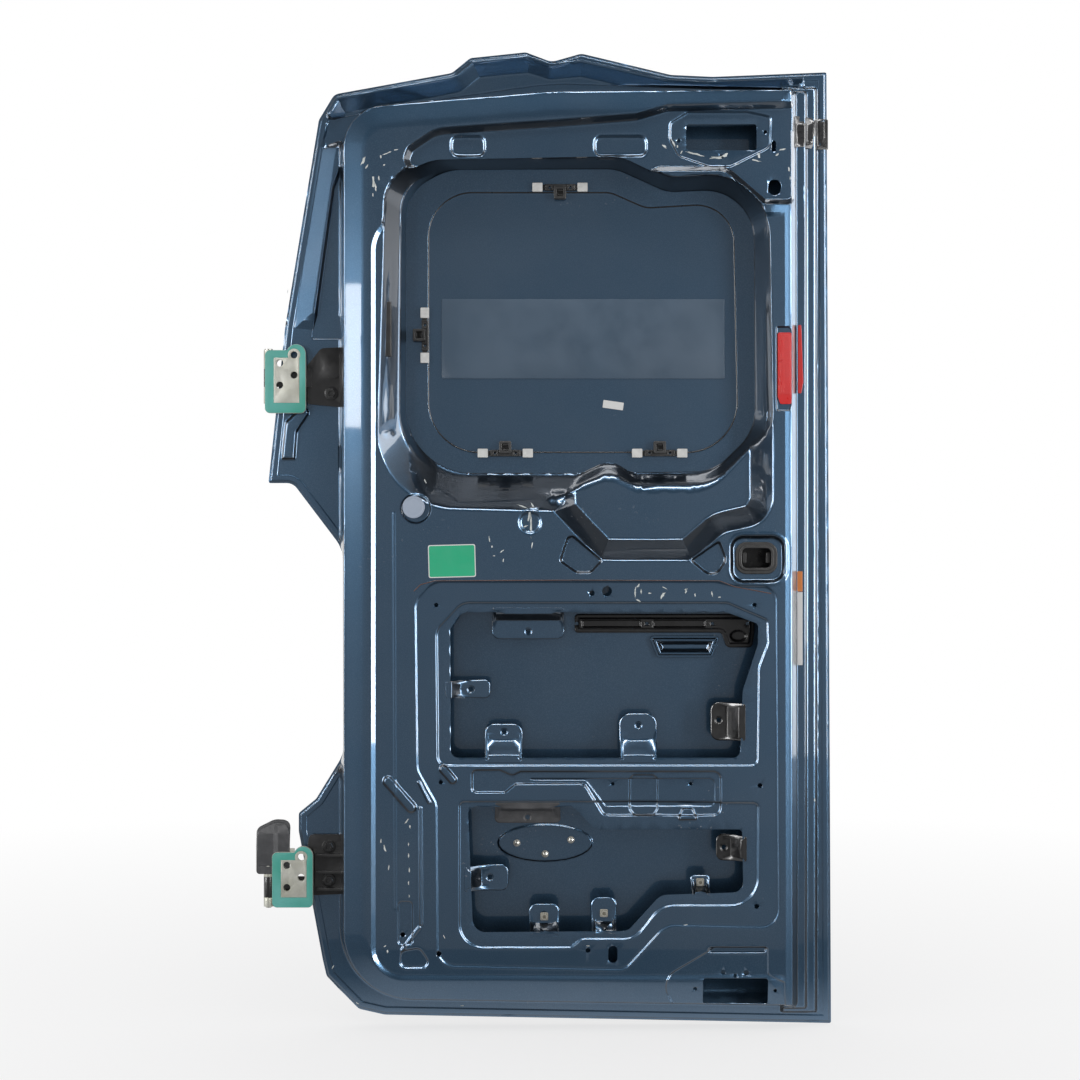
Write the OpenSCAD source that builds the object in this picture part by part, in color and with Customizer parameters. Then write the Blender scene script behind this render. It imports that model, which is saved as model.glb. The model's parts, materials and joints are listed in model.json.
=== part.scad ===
// Rear barn door of a van, seen from inside: a pressed inner panel in front of a
// smooth outer skin, hung on two hinges at the left.
// X runs from the hinges to the lock side, Y from the inside of the van outwards and
// Z up. The origin is the middle of the lower hinge leaf's mounting face.

/* [Overall] */
// Lock-side edge of the skin, from the middle of the hinge face
lock_x = 832; // [800:1:870]
// Highest edge of the skin above the lower hinge
head_z = 1274; // [1240:1:1320]
// Lowest edge of the skin, below the lower hinge
foot_z = -227; // [-260:1:-215]
// Hinge-side wall of the inner panel, from the middle of the hinge face
frame_x = 89; // [85:1:100]
// Top of the service area above the lower hinge
belt_z = 459; // [450:1:475]

/* [Sheet and depth] */
// Thickness of the outer skin
skin_t = 1.2; // [0.8:0.1:2]
// Thickness of the inner panel
panel_t = 1.2; // [0.8:0.1:2]
// Distance of the hem plane behind the hinge face
hem_y = 22; // [20:0.5:26]
// Depth of the inner panel in front of the hem plane
box_d = 57; // [50:1:65]
// Bulge of the skin behind the hem plane
crown_d = 22; // [16:1:30]
// Step of the blank window field in the skin
field_step = 2.5; // [2:0.5:4]
// Gap filled with mastic between the panel and the skin
mastic_gap = 0.3; // [0.2:0.1:0.5]

/* [Window] */
// Depth of the first ledge around the window
ledge_d = 9; // [6:1:12]
// Width of the flange around the window hole
window_flange = 9; // [6:1:12]
// Thickness of the damping sheet on the window field
damping_t = 1.5; // [1:0.1:1.6]

/* [Service openings] */
// Depth of the plate that holds both service openings
service_d = 4; // [3:0.5:6]
// Depth of the step around each service opening
rim_d = 3; // [2:0.5:5]
// Width of the step around each service opening
rim_w = 15; // [12:1:18]
// Thickness of the sheet metal brackets
bracket_t = 1.5; // [1:0.1:2.5]

/* [Hinges] */
// Height of the upper hinge above the lower one
hinge_pitch = 772; // [750:1:790]
// Thickness of the hinge leaves
leaf_t = 8; // [7:0.5:8.5]
// Width of the hinge leaves
leaf_w = 63; // [60:1:66]
// Distance of the hinge axis from the middle of the hinge face, towards the van side
axis_x = 36; // [34:1:38]
// Distance of the knuckles behind the mounting face
knuckle_back = 2; // [1.5:0.1:2.1]
// Outer radius of the knuckles
knuckle_r = 7.5; // [7:0.1:7.6]
// Radius of the hinge pins
pin_r = 4.5; // [4:0.1:5]
// Radius of the bolt holes in the leaves
bolt_hole_r = 5.5; // [5:0.1:6]
// Height of the raised bare face above the gasket rebate
gasket_t = 1.2; // [1:0.1:1.5]
// Thickness of the hinge arms
arm_t = 6; // [5:0.5:6]
// Gap between neighbouring knuckles
knuckle_gap = 0.5; // [0.3:0.1:0.8]
// Radius of the heads of the arm bolts
bolt_head_r = 8; // [7:0.5:9]

/* [Fittings] */
// Length of a trim clip
clip_l = 86; // [82:1:90]
// Width of a trim clip
clip_w = 13; // [11:1:15]
// Height of a trim clip above the skin
clip_h = 4; // [3:0.5:6]
// Outer width of the square socket in a trim clip
socket_w = 19; // [17:1:21]
// Radius of the round plug
plug_r = 17; // [15:1:19]
// Radius of the stud ends on the badge seat
stud_r = 4; // [3:0.5:5]

/* [Hidden] */
$fn = 48;
steps = 5;

// Depth planes along Y
near_y = hem_y - box_d;
flange_y = hem_y - panel_t;
deep_y = hem_y + crown_d;
field_y = deep_y + field_step;
ledge_y = near_y + ledge_d;
service_y = near_y + service_d;
rim_y = service_y + rim_d;
window_y = deep_y - mastic_gap - panel_t;
lock_step_y = near_y + 20;
axis_y = knuckle_back + knuckle_r;

// Distances from the datum edges
function rx(d) = lock_x - d;
function lx(d) = frame_x + d;
function tz(d) = head_z - d;
function bz(d) = foot_z + d;
function mz(d) = belt_z + d;
function hz(d) = hinge_pitch + d;

// Outlines are lists of corners [x, z, radius], anticlockwise seen from inside
function unit(v) = v / norm(v);
function left_of(v) = [-v[1], v[0]];
function xz(c) = [c[0], c[1]];
function edge(o, i) = let (n = len(o)) unit(xz(o[(i + 1) % n]) - xz(o[i % n]));
function cross2(a, b) = a[0] * b[1] - a[1] * b[0];

// The same outline moved inwards by d, with its corner radii kept parallel
function inset(o, d) = let (n = len(o)) [
    for (i = [0 : n - 1])
        let (
            a = edge(o, i + n - 1),
            b = edge(o, i),
            m = (left_of(a) + left_of(b)) / (1 + left_of(a) * left_of(b)),
            r = max(0.5, o[i][2] - sign(cross2(a, b)) * d)
        )
        [o[i][0] + d * m[0], o[i][1] + d * m[1], r]
];

// The points of an outline with its corners as arcs
function rounded(o) = let (n = len(o)) [
    for (i = [0 : n - 1])
        let (
            a = edge(o, i + n - 1),
            b = edge(o, i),
            turn = sign(cross2(a, b)),
            c = xz(o[i]) + o[i][2] * turn
                * (left_of(a) + left_of(b)) / (1 + left_of(a) * left_of(b)),
            from = -turn * left_of(a),
            angle = atan2(cross2(a, b), a * b)
        )
        for (k = [0 : steps])
            let (t = angle * k / steps)
            c + o[i][2] * [
                from[0] * cos(t) - from[1] * sin(t),
                from[0] * sin(t) + from[1] * cos(t)
            ]
];

// A solid through several rings of equal point count, from near to far
module rings(list, ys) {
    n = len(list[0]);
    m = len(list);
    points = [for (k = [0 : m - 1]) for (p = list[k]) [p[0], ys[k], p[1]]];
    sides = [
        for (k = [0 : m - 2]) for (i = [0 : n - 1])
            let (j = (i + 1) % n)
            each [
                [k * n + i, k * n + j, k * n + n + j],
                [k * n + i, k * n + n + j, k * n + n + i]
            ]
    ];
    near = [[for (i = [n - 1 : -1 : 0]) i]];
    far = [[for (i = [0 : n - 1]) (m - 1) * n + i]];
    polyhedron(points = points, faces = concat(near, sides, far));
}

// A pressing that stands towards the viewer, narrower at its near plane
module boss(o, y0, y1, draft, grow) {
    rings([rounded(inset(o, draft + grow)), rounded(inset(o, grow))], [y0, y1]);
}

// The space of a pressed recess, narrower at its floor
module recess(o, y0, y1, draft, grow) {
    rings([rounded(inset(o, -grow)), rounded(inset(o, draft - grow))], [y0, y1]);
}

// An outline extruded along Y
module plate(o, y0, y1) {
    translate([0, y1, 0]) rotate([90, 0, 0]) linear_extrude(y1 - y0) polygon(rounded(o));
}

// A cylinder along Y
module bar_y(x, z, r, y0, y1) {
    translate([x, y1, z]) rotate([90, 0, 0]) cylinder(r = r, h = y1 - y0);
}

// A rectangular block given by its corners
module block(x0, x1, y0, y1, z0, z1) {
    translate([x0, y0, z0]) cube([x1 - x0, y1 - y0, z1 - z0]);
}

function box_outline(x0, x1, z0, z1, r) = [
    [x0, z0, r], [x1, z0, r], [x1, z1, r], [x0, z1, r]
];

// Outlines of the skin and the inner panel
skin_edge = [
    [142, bz(13), 30], [rx(0), bz(0), 3], [rx(7), tz(31), 3], [rx(183), tz(38), 40],
    [rx(248), tz(35), 40], [rx(386), tz(2), 20], [rx(432), tz(15), 25],
    [360, tz(0), 12], [274, tz(9), 12], [246, tz(32), 20], [64, tz(65), 16], [40, tz(105), 10],
    [-12, hz(78), 30], [-38, hz(-164), 3], [0, hz(-164), 20], [lx(-11), hz(-267), 60],
    [lx(-10), 190, 60], [36, 120, 15], [9, 98, 6], [9, 70, 20], [46, -128, 40],
    [52, -154, 10], [102, -205, 14]
];
panel_edge = inset(skin_edge, 3);
box_edge = [
    [lx(0), bz(43), 115], [rx(62), bz(29), 12], [rx(66), tz(59), 14], [rx(432), tz(65), 300],
    [225, tz(80), 100], [lx(0), tz(108), 80]
];
bulge_edge = [
    [lx(6), bz(22), 90], [rx(22), bz(22), 30], [rx(26), tz(56), 30], [rx(432), tz(60), 300],
    [225, tz(76), 100], [lx(4), tz(96), 80]
];
ledge_edge = [
    [lx(46), mz(170), 60], [rx(66), mz(170), 40], [rx(68), tz(84), 20], [rx(290), tz(94), 40],
    [rx(330), tz(108), 60], [rx(500), tz(116), 200], [245, tz(124), 50], [lx(84), tz(170), 60]
];
window_wall = [
    [lx(48), mz(128), 100], [330, mz(104), 60], [rx(426), mz(110), 80], [rx(360), mz(162), 40],
    [rx(216), mz(136), 70], [rx(98), mz(220), 80], [rx(102), tz(200), 110],
    [rx(240), tz(204), 40], [rx(330), tz(168), 60], [236, tz(176), 120], [lx(44), tz(300), 60]
];
window_hole = [
    [lx(86), mz(166), 90], [rx(382), mz(163), 60], [rx(320), mz(184), 40],
    [rx(300), mz(170), 40], [rx(116), mz(166), 90], [rx(116), tz(192), 90],
    [rx(280), tz(212), 60], [rx(340), tz(176), 60], [lx(84), tz(178), 100]
];
field_edge = [
    [lx(118), mz(196), 80], [rx(140), mz(196), 80], [rx(148), tz(228), 60],
    [rx(285), tz(236), 40], [rx(340), tz(212), 40], [lx(118), tz(212), 70]
];
shelf_edge = [
    [rx(356), mz(26), 12], [rx(222), mz(26), 14], [rx(170), mz(66), 20], [rx(98), mz(96), 25],
    [rx(98), mz(250), 30], [rx(400), mz(250), 10], [rx(432), mz(106), 20]
];
service_edge = [
    [lx(135), bz(96), 24], [rx(322), bz(88), 20], [rx(262), bz(152), 30], [rx(86), bz(158), 25],
    [rx(84), mz(-8), 24], [rx(156), mz(-4), 60], [lx(133), mz(2), 40], [lx(104), mz(-60), 60],
    [lx(107), 150, 30], [lx(135), 128, 20]
];
upper_hole = [
    [lx(157), 188, 12], [rx(145), 188, 12], [rx(141), 290, 20], [rx(118), mz(-99), 20],
    [rx(117), mz(-67), 8], [rx(166), mz(-49), 20], [lx(173), mz(-49), 20], [lx(156), mz(-75), 8]
];
lower_hole = [
    [lx(191), bz(149), 20], [rx(316), bz(151), 20], [rx(266), bz(206), 24],
    [rx(140), bz(210), 16], [rx(142), 79, 6], [rx(366), 79, 20], [rx(398), 113, 20],
    [lx(183), 113, 10]
];
lock_step_edge = box_outline(rx(74), rx(34), bz(24), tz(62), 6);
bead_edge = [
    [lx(187), 132, 12], [rx(366), 132, 10], [rx(340), 98, 12], [rx(182), 98, 14],
    [rx(172), 150, 14], [rx(190), 168, 10], [lx(187), 168, 12]
];
release_edge = box_outline(rx(162), rx(75), mz(-6), mz(70), 22);
release_hole = box_outline(rx(143), rx(97), mz(18), mz(49), 8);
upper_latch_edge = [
    [rx(258), tz(168), 30], [rx(180), tz(190), 20], [rx(96), tz(160), 20], [rx(92), tz(92), 20],
    [rx(262), tz(92), 20]
];
upper_latch_hole = box_outline(rx(227), rx(119), tz(159), tz(119), 4);
lower_latch_hole = box_outline(rx(202), rx(103), bz(40), bz(80), 4);

// Outline of a straight bead with its two end points and its half width
function bead_outline(a, b, r) = let (u = r * unit(b - a), v = left_of(u)) [
    for (c = [a - u - v, b + u - v, b + u + v, a - u + v]) [c[0], c[1], 0.9 * r]
];

// Small pressed forms: raised pads of the hinge-side flange, lobes beside the shelf,
// dished fields, grooves and raised beads
upper_pad_edge = [
    [1, hz(76), 5], [26, hz(71), 5], [58, tz(208), 20], [68, tz(170), 10], [68, tz(114), 8],
    [50, tz(110), 6], [42, tz(154), 20]
];
lower_pad_edge = [
    [-17, hz(-127), 4], [4, hz(-127), 4], [6, hz(-88), 6], [16, hz(-72), 4], [4, hz(-68), 4],
    [-12, hz(-82), 8]
];
left_lobe_edge = [
    [rx(423), mz(28), 6], [rx(395), mz(10), 10], [rx(375), mz(10), 8], [rx(357), mz(30), 6],
    [rx(407), mz(73), 8]
];
right_lobe_edge = [
    [rx(220), mz(30), 5], [rx(192), mz(11), 8], [rx(184), mz(11), 8], [rx(164), mz(29), 6],
    [rx(174), mz(57), 6]
];
dimple_x = rx(465);
dimple_z = mz(88);
dimple_r = 20;
dimple_edge = box_outline(
    dimple_x - dimple_r, dimple_x + dimple_r, dimple_z - dimple_r, dimple_z + dimple_r,
    0.95 * dimple_r
);
top_fields = [
    box_outline(lx(154), lx(212), tz(171), tz(134), 14),
    box_outline(rx(370), rx(284), tz(171), tz(134), 14)
];
low_fields = [
    box_outline(lx(75), lx(101), bz(129), bz(199), 7),
    [[lx(79), bz(93), 8], [lx(133), bz(93), 8], [lx(111), bz(119), 10], [lx(81), bz(119), 8]]
];
lower_latch_edge = [
    [rx(246), bz(36), 10], [rx(82), bz(36), 6], [rx(82), bz(86), 6], [rx(101), bz(92), 4],
    [rx(101), bz(129), 6], [rx(184), bz(129), 6], [rx(272), bz(77), 30]
];
latch_groove_edge = bead_outline([rx(190), bz(123)], [rx(112), bz(123)], 6);
raised_beads = [
    bead_outline([lx(63), bz(399)], [lx(107), bz(347)], 7),
    bead_outline([lx(111), bz(325)], [lx(112), bz(165)], 4)
];
flange_pad_d = 5;
field_dish = 3;
lobe_d = 5;
bead_h = 2.5;

// Oval seat of the badge, pressed into the skin from outside
seat_x = rx(442);
seat_z = 49;
seat_step = 2.5;
seat_edge = box_outline(seat_x - 74, seat_x + 74, seat_z - 30, seat_z + 30, 28);

// The round plug and its hole
plug_x = lx(101);
plug_z = mz(111);

// Fastening holes of the panel: [x, z, radius, half length upright]
panel_holes = [
    [lx(135), mz(-38), 3.5, 0.5], [rx(123), mz(-38), 3.5, 0.5], [rx(371), mz(-20), 4.5, 0.5],
    [rx(348), mz(-17), 8, 0.5], [lx(142), 151, 3.5, 0.5], [rx(115), 146, 4, 0.5],
    [rx(339), bz(116), 7, 6], [rx(377), bz(122), 4, 0.5], [rx(120), bz(189), 4, 0.5],
    [rx(92), tz(216), 10, 2], [lx(139), bz(117), 4, 0.5], [lx(84), bz(146), 4, 0.5],
    [plug_x, plug_z, plug_r - 6, 0.5]
];

// A short upright slot along Y
module slot_y(x, z, r, half, y0, y1) {
    hull() for (s = [-1, 1]) bar_y(x, z + s * half, r, y0, y1, $fn = 16);
}

// Solid form of the inner panel in front of the skin, moved back and in by g
module panel_form(g) {
    back_y = deep_y + 20 + g;
    difference() {
        union() {
            block(lx(-200), rx(-60), flange_y + g, back_y, bz(-60), tz(-60));
            boss(box_edge, near_y + g, back_y, 8, g);
            boss(lock_step_edge, lock_step_y + g, back_y, 5, g);
            for (o = [upper_pad_edge, lower_pad_edge])
                boss(o, flange_y - flange_pad_d + g, back_y, 5, g);
            for (o = raised_beads) boss(o, near_y - bead_h + g, near_y + 10 + g, 3, g);
        }
        recess(ledge_edge, near_y - 1, ledge_y + g, 6, g);
        recess(window_wall, near_y - 1, window_y + g, 24, g);
        recess(inset(window_hole, -window_flange), ledge_y - 1, window_y + g, 0, g);
        recess(shelf_edge, near_y - 1, near_y + 22 + g, 10, g);
        recess(service_edge, near_y - 1, service_y + g, 4, g);
        recess(inset(upper_hole, -rim_w), near_y - 1, rim_y + g, 3, g);
        recess(inset(lower_hole, -rim_w), near_y - 1, rim_y + g, 3, g);
        recess(release_edge, near_y - 1, near_y + 12 + g, 6, g);
        recess(upper_latch_edge, near_y - 1, ledge_y + 4 + g, 4, g);
        recess(lower_latch_edge, near_y - 1, near_y + bead_h + g, 3, g);
        recess(latch_groove_edge, near_y - 1, near_y + bead_h + field_dish + g, 3, g);
        recess(dimple_edge, near_y - 1, near_y + lobe_d + g, 7, g);
        for (o = [left_lobe_edge, right_lobe_edge])
            recess(o, near_y - 1, near_y + lobe_d + g, 4, g);
        for (o = top_fields) recess(o, near_y - 1, ledge_y + field_dish + g, 5, g);
        for (o = low_fields) recess(o, near_y - 1, near_y + field_dish + g, 3, g);
    }
    boss(bead_edge, service_y - 3 + g, service_y + 10 + g, 3, g);
}

module inner_panel() {
    color("#27303c") difference() {
        intersection() {
            panel_form(0);
            plate(panel_edge, near_y - 1, deep_y + 1);
        }
        panel_form(panel_t);
        plate(window_hole, near_y, deep_y + 40);
        plate(upper_hole, near_y - 5, near_y + 20);
        plate(lower_hole, near_y - 5, near_y + 20);
        plate(release_hole, near_y - 5, near_y + 30);
        plate(upper_latch_hole, near_y - 5, near_y + 30);
        plate(lower_latch_hole, near_y - 5, near_y + 30);
        for (h = panel_holes) slot_y(h[0], h[1], h[2], h[3], near_y - 5, near_y + 30);
    }
}

// The crowned part of the skin as a solid, moved back and out by g
bulge_in = [0, 12, 28, 52];
bulge_rise = [0, 0.5, 0.85, 1];
module skin_bulge(g) {
    rings(
        [for (d = bulge_in) rounded(inset(bulge_edge, d - g))],
        [for (f = bulge_rise) hem_y - 1 + f * (crown_d + 1) + g]
    );
}

module outer_skin() {
    color("#27303c") difference() {
        union() {
            plate(skin_edge, hem_y, hem_y + skin_t);
            skin_bulge(skin_t);
            plate(field_edge, deep_y - 1, field_y + skin_t);
        }
        difference() {
            skin_bulge(0);
            plate(seat_edge, deep_y - seat_step, deep_y + 1);
        }
        plate(inset(field_edge, skin_t), deep_y - 2, field_y);
        plate(inset(seat_edge, skin_t), deep_y - seat_step + skin_t, deep_y + skin_t + 1);
    }
}

// Hinge leaves, seen from the mounting side; z = 0 is the middle of the bolt field
pin_gap = 0.05;
arm_gap = 0.3;
ear_r = 15;
left_bolt_x = -7;
right_bolt_x = 15;
left_bolts = [-14, 20];
right_bolts = [1.5, 32.5];
leaf_top = 40;
leaf_right = 33;
lower_leaf_low = -45;
upper_leaf_low = -57;
upper_leaf_x = -11;

module leaf_outline(low) {
    translate([leaf_right - leaf_w + 8, low + 8]) square([leaf_w - 16, leaf_top - low - 16]);
    for (x = [leaf_right - leaf_w + 8, leaf_right - 8], z = [low + 8, leaf_top - 8])
        translate([x, z]) circle(8);
    translate([leaf_right - leaf_w, low + 8]) square([leaf_w, leaf_top - low - 16]);
    translate([leaf_right - leaf_w + 8, low]) square([leaf_w - 16, leaf_top - low]);
    translate([leaf_right - ear_r, leaf_top - 6]) circle(ear_r);
}

module bare_outline(low) {
    translate([-16, low + 16]) square([39, leaf_top - low - 28]);
    translate([right_bolt_x, right_bolts[1]]) circle(bolt_hole_r + 4);
}

module at_front(y0, y1) {
    translate([0, y1, 0]) rotate([90, 0, 0]) linear_extrude(y1 - y0) children();
}

module bolt_holes(r, y0, y1) {
    for (z = left_bolts) bar_y(left_bolt_x, z, r, y0, y1);
    for (z = right_bolts) bar_y(right_bolt_x, z, r, y0, y1);
}

// The web of a knuckle ends clear of the bolt hole beside it
function web_top(k) = k[0] < left_bolts[0]
    ? min(k[1], left_bolts[0] - bolt_hole_r - 1)
    : k[1];

module hinge_leaf(low, shift, knuckles) {
    difference() {
        union() {
            translate([shift, 0, 0]) {
                at_front(gasket_t + 0.2, leaf_t) leaf_outline(low);
                at_front(0, leaf_t) bare_outline(low);
            }
            for (k = knuckles) {
                translate([-axis_x, axis_y, k[0]]) cylinder(r = knuckle_r, h = k[1] - k[0]);
                block(-axis_x, shift + 4, axis_y - 3, axis_y + 3, k[0], web_top(k));
            }
        }
        translate([shift, -1, 0]) bolt_holes(bolt_hole_r, 0, leaf_t + 20);
        translate([-axis_x, axis_y, low - 20]) cylinder(r = pin_r + pin_gap, h = 140);
        translate([-axis_x, axis_y, 0]) for (g = knuckle_slots(knuckles))
            translate([0, 0, g[0]]) cylinder(r = knuckle_r + 1, h = g[1] - g[0]);
    }
}

function knuckle_slots(k) = [for (i = [0 : len(k) - 2]) [k[i][1], k[i + 1][0]]];
upper_knuckles = [[-42, -16.5], [12, leaf_top]];
lower_knuckles = [[-44, -30], [2, 45]];

module hinge_gasket(low, shift) {
    translate([shift, 0, 0]) difference() {
        at_front(0.2, 0.2 + gasket_t) difference() {
            offset(delta = -0.4) leaf_outline(low);
            offset(delta = 0.2) bare_outline(low);
        }
    }
}

module upper_hinge_leaf() {
    color("#9a9a8c") translate([0, 0, hinge_pitch])
        hinge_leaf(upper_leaf_low, upper_leaf_x, upper_knuckles);
}

module lower_hinge_leaf() {
    color("#b9b7b0") hinge_leaf(lower_leaf_low, 0, lower_knuckles);
}

module upper_hinge_gasket() {
    color("#4fb9a0") translate([0, 0, hinge_pitch]) hinge_gasket(upper_leaf_low, upper_leaf_x);
}

module lower_hinge_gasket() {
    color("#4fb9a0") hinge_gasket(lower_leaf_low, 0);
}

module hinge_pin(knuckles, over) {
    low = knuckles[0][0];
    high = knuckles[len(knuckles) - 1][1];
    translate([-axis_x, axis_y, low - over]) cylinder(r = pin_r, h = high - low + 2 * over);
    translate([-axis_x, axis_y, high + 0.1]) cylinder(r = pin_r + 2, h = over);
}

module upper_hinge_pin() {
    color("#8b8b86") translate([0, 0, hinge_pitch]) hinge_pin(upper_knuckles, 2);
}

module lower_hinge_pin() {
    color("#8b8b86") hinge_pin(lower_knuckles, 2);
}

// Grey cap over the top knuckle of the lower hinge
cap_x0 = -18;
cap_x1 = 34;
cap_low = 6.5;
cap_top = 88;
module lower_hinge_cover() {
    color("#55585c") difference() {
        translate([-axis_x, 0, cap_low]) intersection() {
            union() {
                translate([cap_x0 + 12, 13, 0]) cylinder(r = 12, h = cap_top - cap_low);
                translate([cap_x1 - 14, 14, 0]) cylinder(r = 13, h = cap_top - cap_low);
                translate([cap_x0 + 12, 1, 0])
                    cube([cap_x1 - cap_x0 - 26, 24, cap_top - cap_low]);
            }
            translate([8, 40, 0]) rotate([90, 0, 0]) cylinder(r = 85, h = 60);
        }
        translate([-axis_x, axis_y, 0]) cylinder(r = knuckle_r + 0.3, h = 52);
        at_front(-1, leaf_t + 0.3) offset(delta = 0.3) leaf_outline(lower_leaf_low);
        block(-axis_x, leaf_right, axis_y - 3.3, axis_y + 3.3, 0, 46);
    }
}

// Door-side arms, with the knuckle, the plate on the hem flange and its ribs
arm_y1 = flange_y - 0.3;
arm_y0 = arm_y1 - arm_t;
arm_x1 = frame_x - 4;
module hinge_arm(slot, neck_top, body_x, body) {
    low = slot[0] + knuckle_gap;
    high = slot[1] - knuckle_gap;
    difference() {
        union() {
            translate([-axis_x, axis_y, low]) cylinder(r = knuckle_r, h = high - low);
            block(-axis_x, body_x + 6, axis_y + 1, axis_y + knuckle_r - 1, low, neck_top);
            block(body_x, body_x + 6, axis_y + 1, arm_y1, low, neck_top);
            plate(body, arm_y0, arm_y1);
        }
        translate([-axis_x, axis_y, low - 1])
            cylinder(r = pin_r + arm_gap, h = high - low + 2);
    }
}

upper_arm_body = [
    [22, -42, 6], [arm_x1, -48, 4], [arm_x1, 46, 6], [44, 44, 12], [22, 16, 8]
];
lower_arm_body = [
    [22, -28, 4], [38, -28, 4], [arm_x1, -26, 4], [arm_x1, 66, 4], [26, 66, 8], [22, 40, 4]
];
module upper_hinge_arm() {
    color("#17181a") translate([0, 0, hinge_pitch]) {
        hinge_arm(knuckle_slots(upper_knuckles)[0], 11, 24, upper_arm_body);
        for (x = [74, arm_x1 - 4]) block(x, x + 4, arm_y0 - 12, arm_y0, -40, 36);
        bar_y(62, 12, 15, arm_y0 - 3, arm_y0);
    }
}

module lower_hinge_arm() {
    color("#17181a") {
        hinge_arm(knuckle_slots(lower_knuckles)[0], 1.5, 24, lower_arm_body);
        for (z = [4, 30, 56]) block(leaf_right + 5, arm_x1, arm_y0 - 8, arm_y0, z - 24, z - 20);
        block(arm_x1 - 4, arm_x1, arm_y0 - 12, arm_y0, -22, 60);
    }
}

module arm_bolts(x, list) {
    for (z = list) {
        bar_y(x, z, bolt_head_r, arm_y0 - 7.3, arm_y0 - 0.3);
        bar_y(x, z, bolt_head_r + 2, arm_y0 - 2.3, arm_y0 - 0.3);
    }
}

module upper_arm_bolts() {
    color("#1d1f22") translate([0, 0, hinge_pitch]) arm_bolts(60, [-26]);
}

module lower_arm_bolts() {
    color("#1d1f22") arm_bolts(56, [-5, 47]);
}

// Face of the damping sheet on the window field
damping_left = 140;
damping_right = 163;
damping_low = 312;
damping_h = 124;
damping_edge = box_outline(
    lx(damping_left), rx(damping_right), mz(damping_low), mz(damping_low + damping_h), 2
);
module damping_pad() {
    color("#333f4c") plate(damping_edge, field_y - damping_t - 0.1, field_y - 0.1);
}

// Trim clips on the window field: [x, z, turned, side of the socket]
top_clip = [419, 206];
side_clip = [114, 379];
low_clips = [239, 264];
low_clip_z = 196;
clip_places = [
    [rx(top_clip[0]), tz(top_clip[1]), 0, -1], [lx(side_clip[0]), mz(side_clip[1]), 90, -1],
    [lx(low_clips[0]), mz(low_clip_z), 0, 1], [rx(low_clips[1]), mz(low_clip_z), 0, 1]
];
clip_y = deep_y - 0.2;
socket_off = 9;
socket_hole = 10;
socket_h = 8;
clip_pad_l = 18;
clip_pad_w = 14;
clip_pad_t = 4;
module trim_clip(side) {
    difference() {
        union() {
            block(-clip_l / 2, clip_l / 2, clip_y - clip_h, clip_y, -clip_w / 2, clip_w / 2);
            translate([0, 0, side * socket_off]) block(
                -socket_w / 2, socket_w / 2, clip_y - clip_h - socket_h, clip_y,
                -socket_w / 2, socket_w / 2
            );
        }
        translate([0, 0, side * socket_off]) block(
            -socket_hole / 2, socket_hole / 2, clip_y - clip_h - socket_h - 1, clip_y - 2,
            -socket_hole / 2, socket_hole / 2
        );
    }
}

module at_clip(c) {
    translate([c[0], 0, c[1]]) rotate([0, c[2], 0]) children();
}

module trim_clips() {
    color("#1b1c1e") for (c = clip_places) at_clip(c) trim_clip(c[3]);
}

module clip_pads() {
    color("#c9cac8") for (c = clip_places, s = [-1, 1])
        at_clip(c) translate([s * (clip_l - clip_pad_l) / 2, 0, 0]) block(
            -clip_pad_l / 2, clip_pad_l / 2, clip_y - clip_h - clip_pad_t,
            clip_y - clip_h - 0.1, -clip_pad_w / 2, clip_pad_w / 2
        );
}

module side_wall_clip() {
    color("#141516") block(lx(55), lx(66), near_y + 13, near_y + 26, mz(341), mz(425));
}

module round_plug() {
    color("#8fa0b4") {
        bar_y(plug_x, plug_z, plug_r, near_y - 2.3, near_y - 0.3);
        bar_y(plug_x, plug_z, plug_r - 7, near_y - 2.3, near_y + 4);
    }
}

module release_bezel() {
    color("#1b1d20") difference() {
        plate(inset(release_hole, -9), near_y + 8.7, near_y + 11.7);
        plate(release_hole, near_y, near_y + 30);
    }
}

module red_reflector() {
    color("#c8191c") block(rx(94), rx(73), ledge_y - 1.5, ledge_y - 0.3, mz(268), mz(378));
}

// Brackets seen in the service openings: a lip behind the panel, a web away from it and
// a tab with a hole at the far end
bracket_y = rim_y + panel_t + 0.3;
bracket_lip = 9;
bracket_hole_r = 4;
angle_drop = 24;
side_drop = 14;
module tab_face(x0, x1, z0, z1, y1) {
    difference() {
        plate(box_outline(x0, x1, z0, z1, bracket_t), y1 - bracket_t, y1);
        bar_y((x0 + x1) / 2, (z0 + z1) / 2, bracket_hole_r, y1 - 10, y1 + 10);
    }
}

module angle_tab(x0, x1, z0, z1, up) {
    web = up ? [z0, z0 + bracket_t] : [z1 - bracket_t, z1];
    lip = up ? [z0 - bracket_lip, z0 + bracket_t] : [z1 - bracket_t, z1 + bracket_lip];
    block(x0, x1, bracket_y, bracket_y + angle_drop - bracket_t / 2, web[0], web[1]);
    tab_face(x0, x1, z0, z1, bracket_y + angle_drop);
    block(x0, x1, bracket_y, bracket_y + bracket_t, lip[0], lip[1]);
}

module side_tab(x0, x1, z0, z1, right) {
    web = right ? [x1 - bracket_t, x1] : [x0, x0 + bracket_t];
    lip = right ? [x1 - bracket_t, x1 + bracket_lip] : [x0 - bracket_lip, x0 + bracket_t];
    block(web[0], web[1], bracket_y, bracket_y + side_drop - bracket_t / 2, z0, z1);
    tab_face(x0, x1, z0, z1, bracket_y + side_drop);
    block(lip[0], lip[1], bracket_y, bracket_y + bracket_t, z0, z1);
}

strip_left = 396;
strip_right = 117;
strip_low = -87;
strip_high = -53;
strip_d = 14;
module handle_reinforcement() {
    color("#131416") block(
        rx(strip_left), rx(strip_right), deep_y - strip_d, deep_y - 0.3,
        mz(strip_low), mz(strip_high)
    );
}

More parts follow.
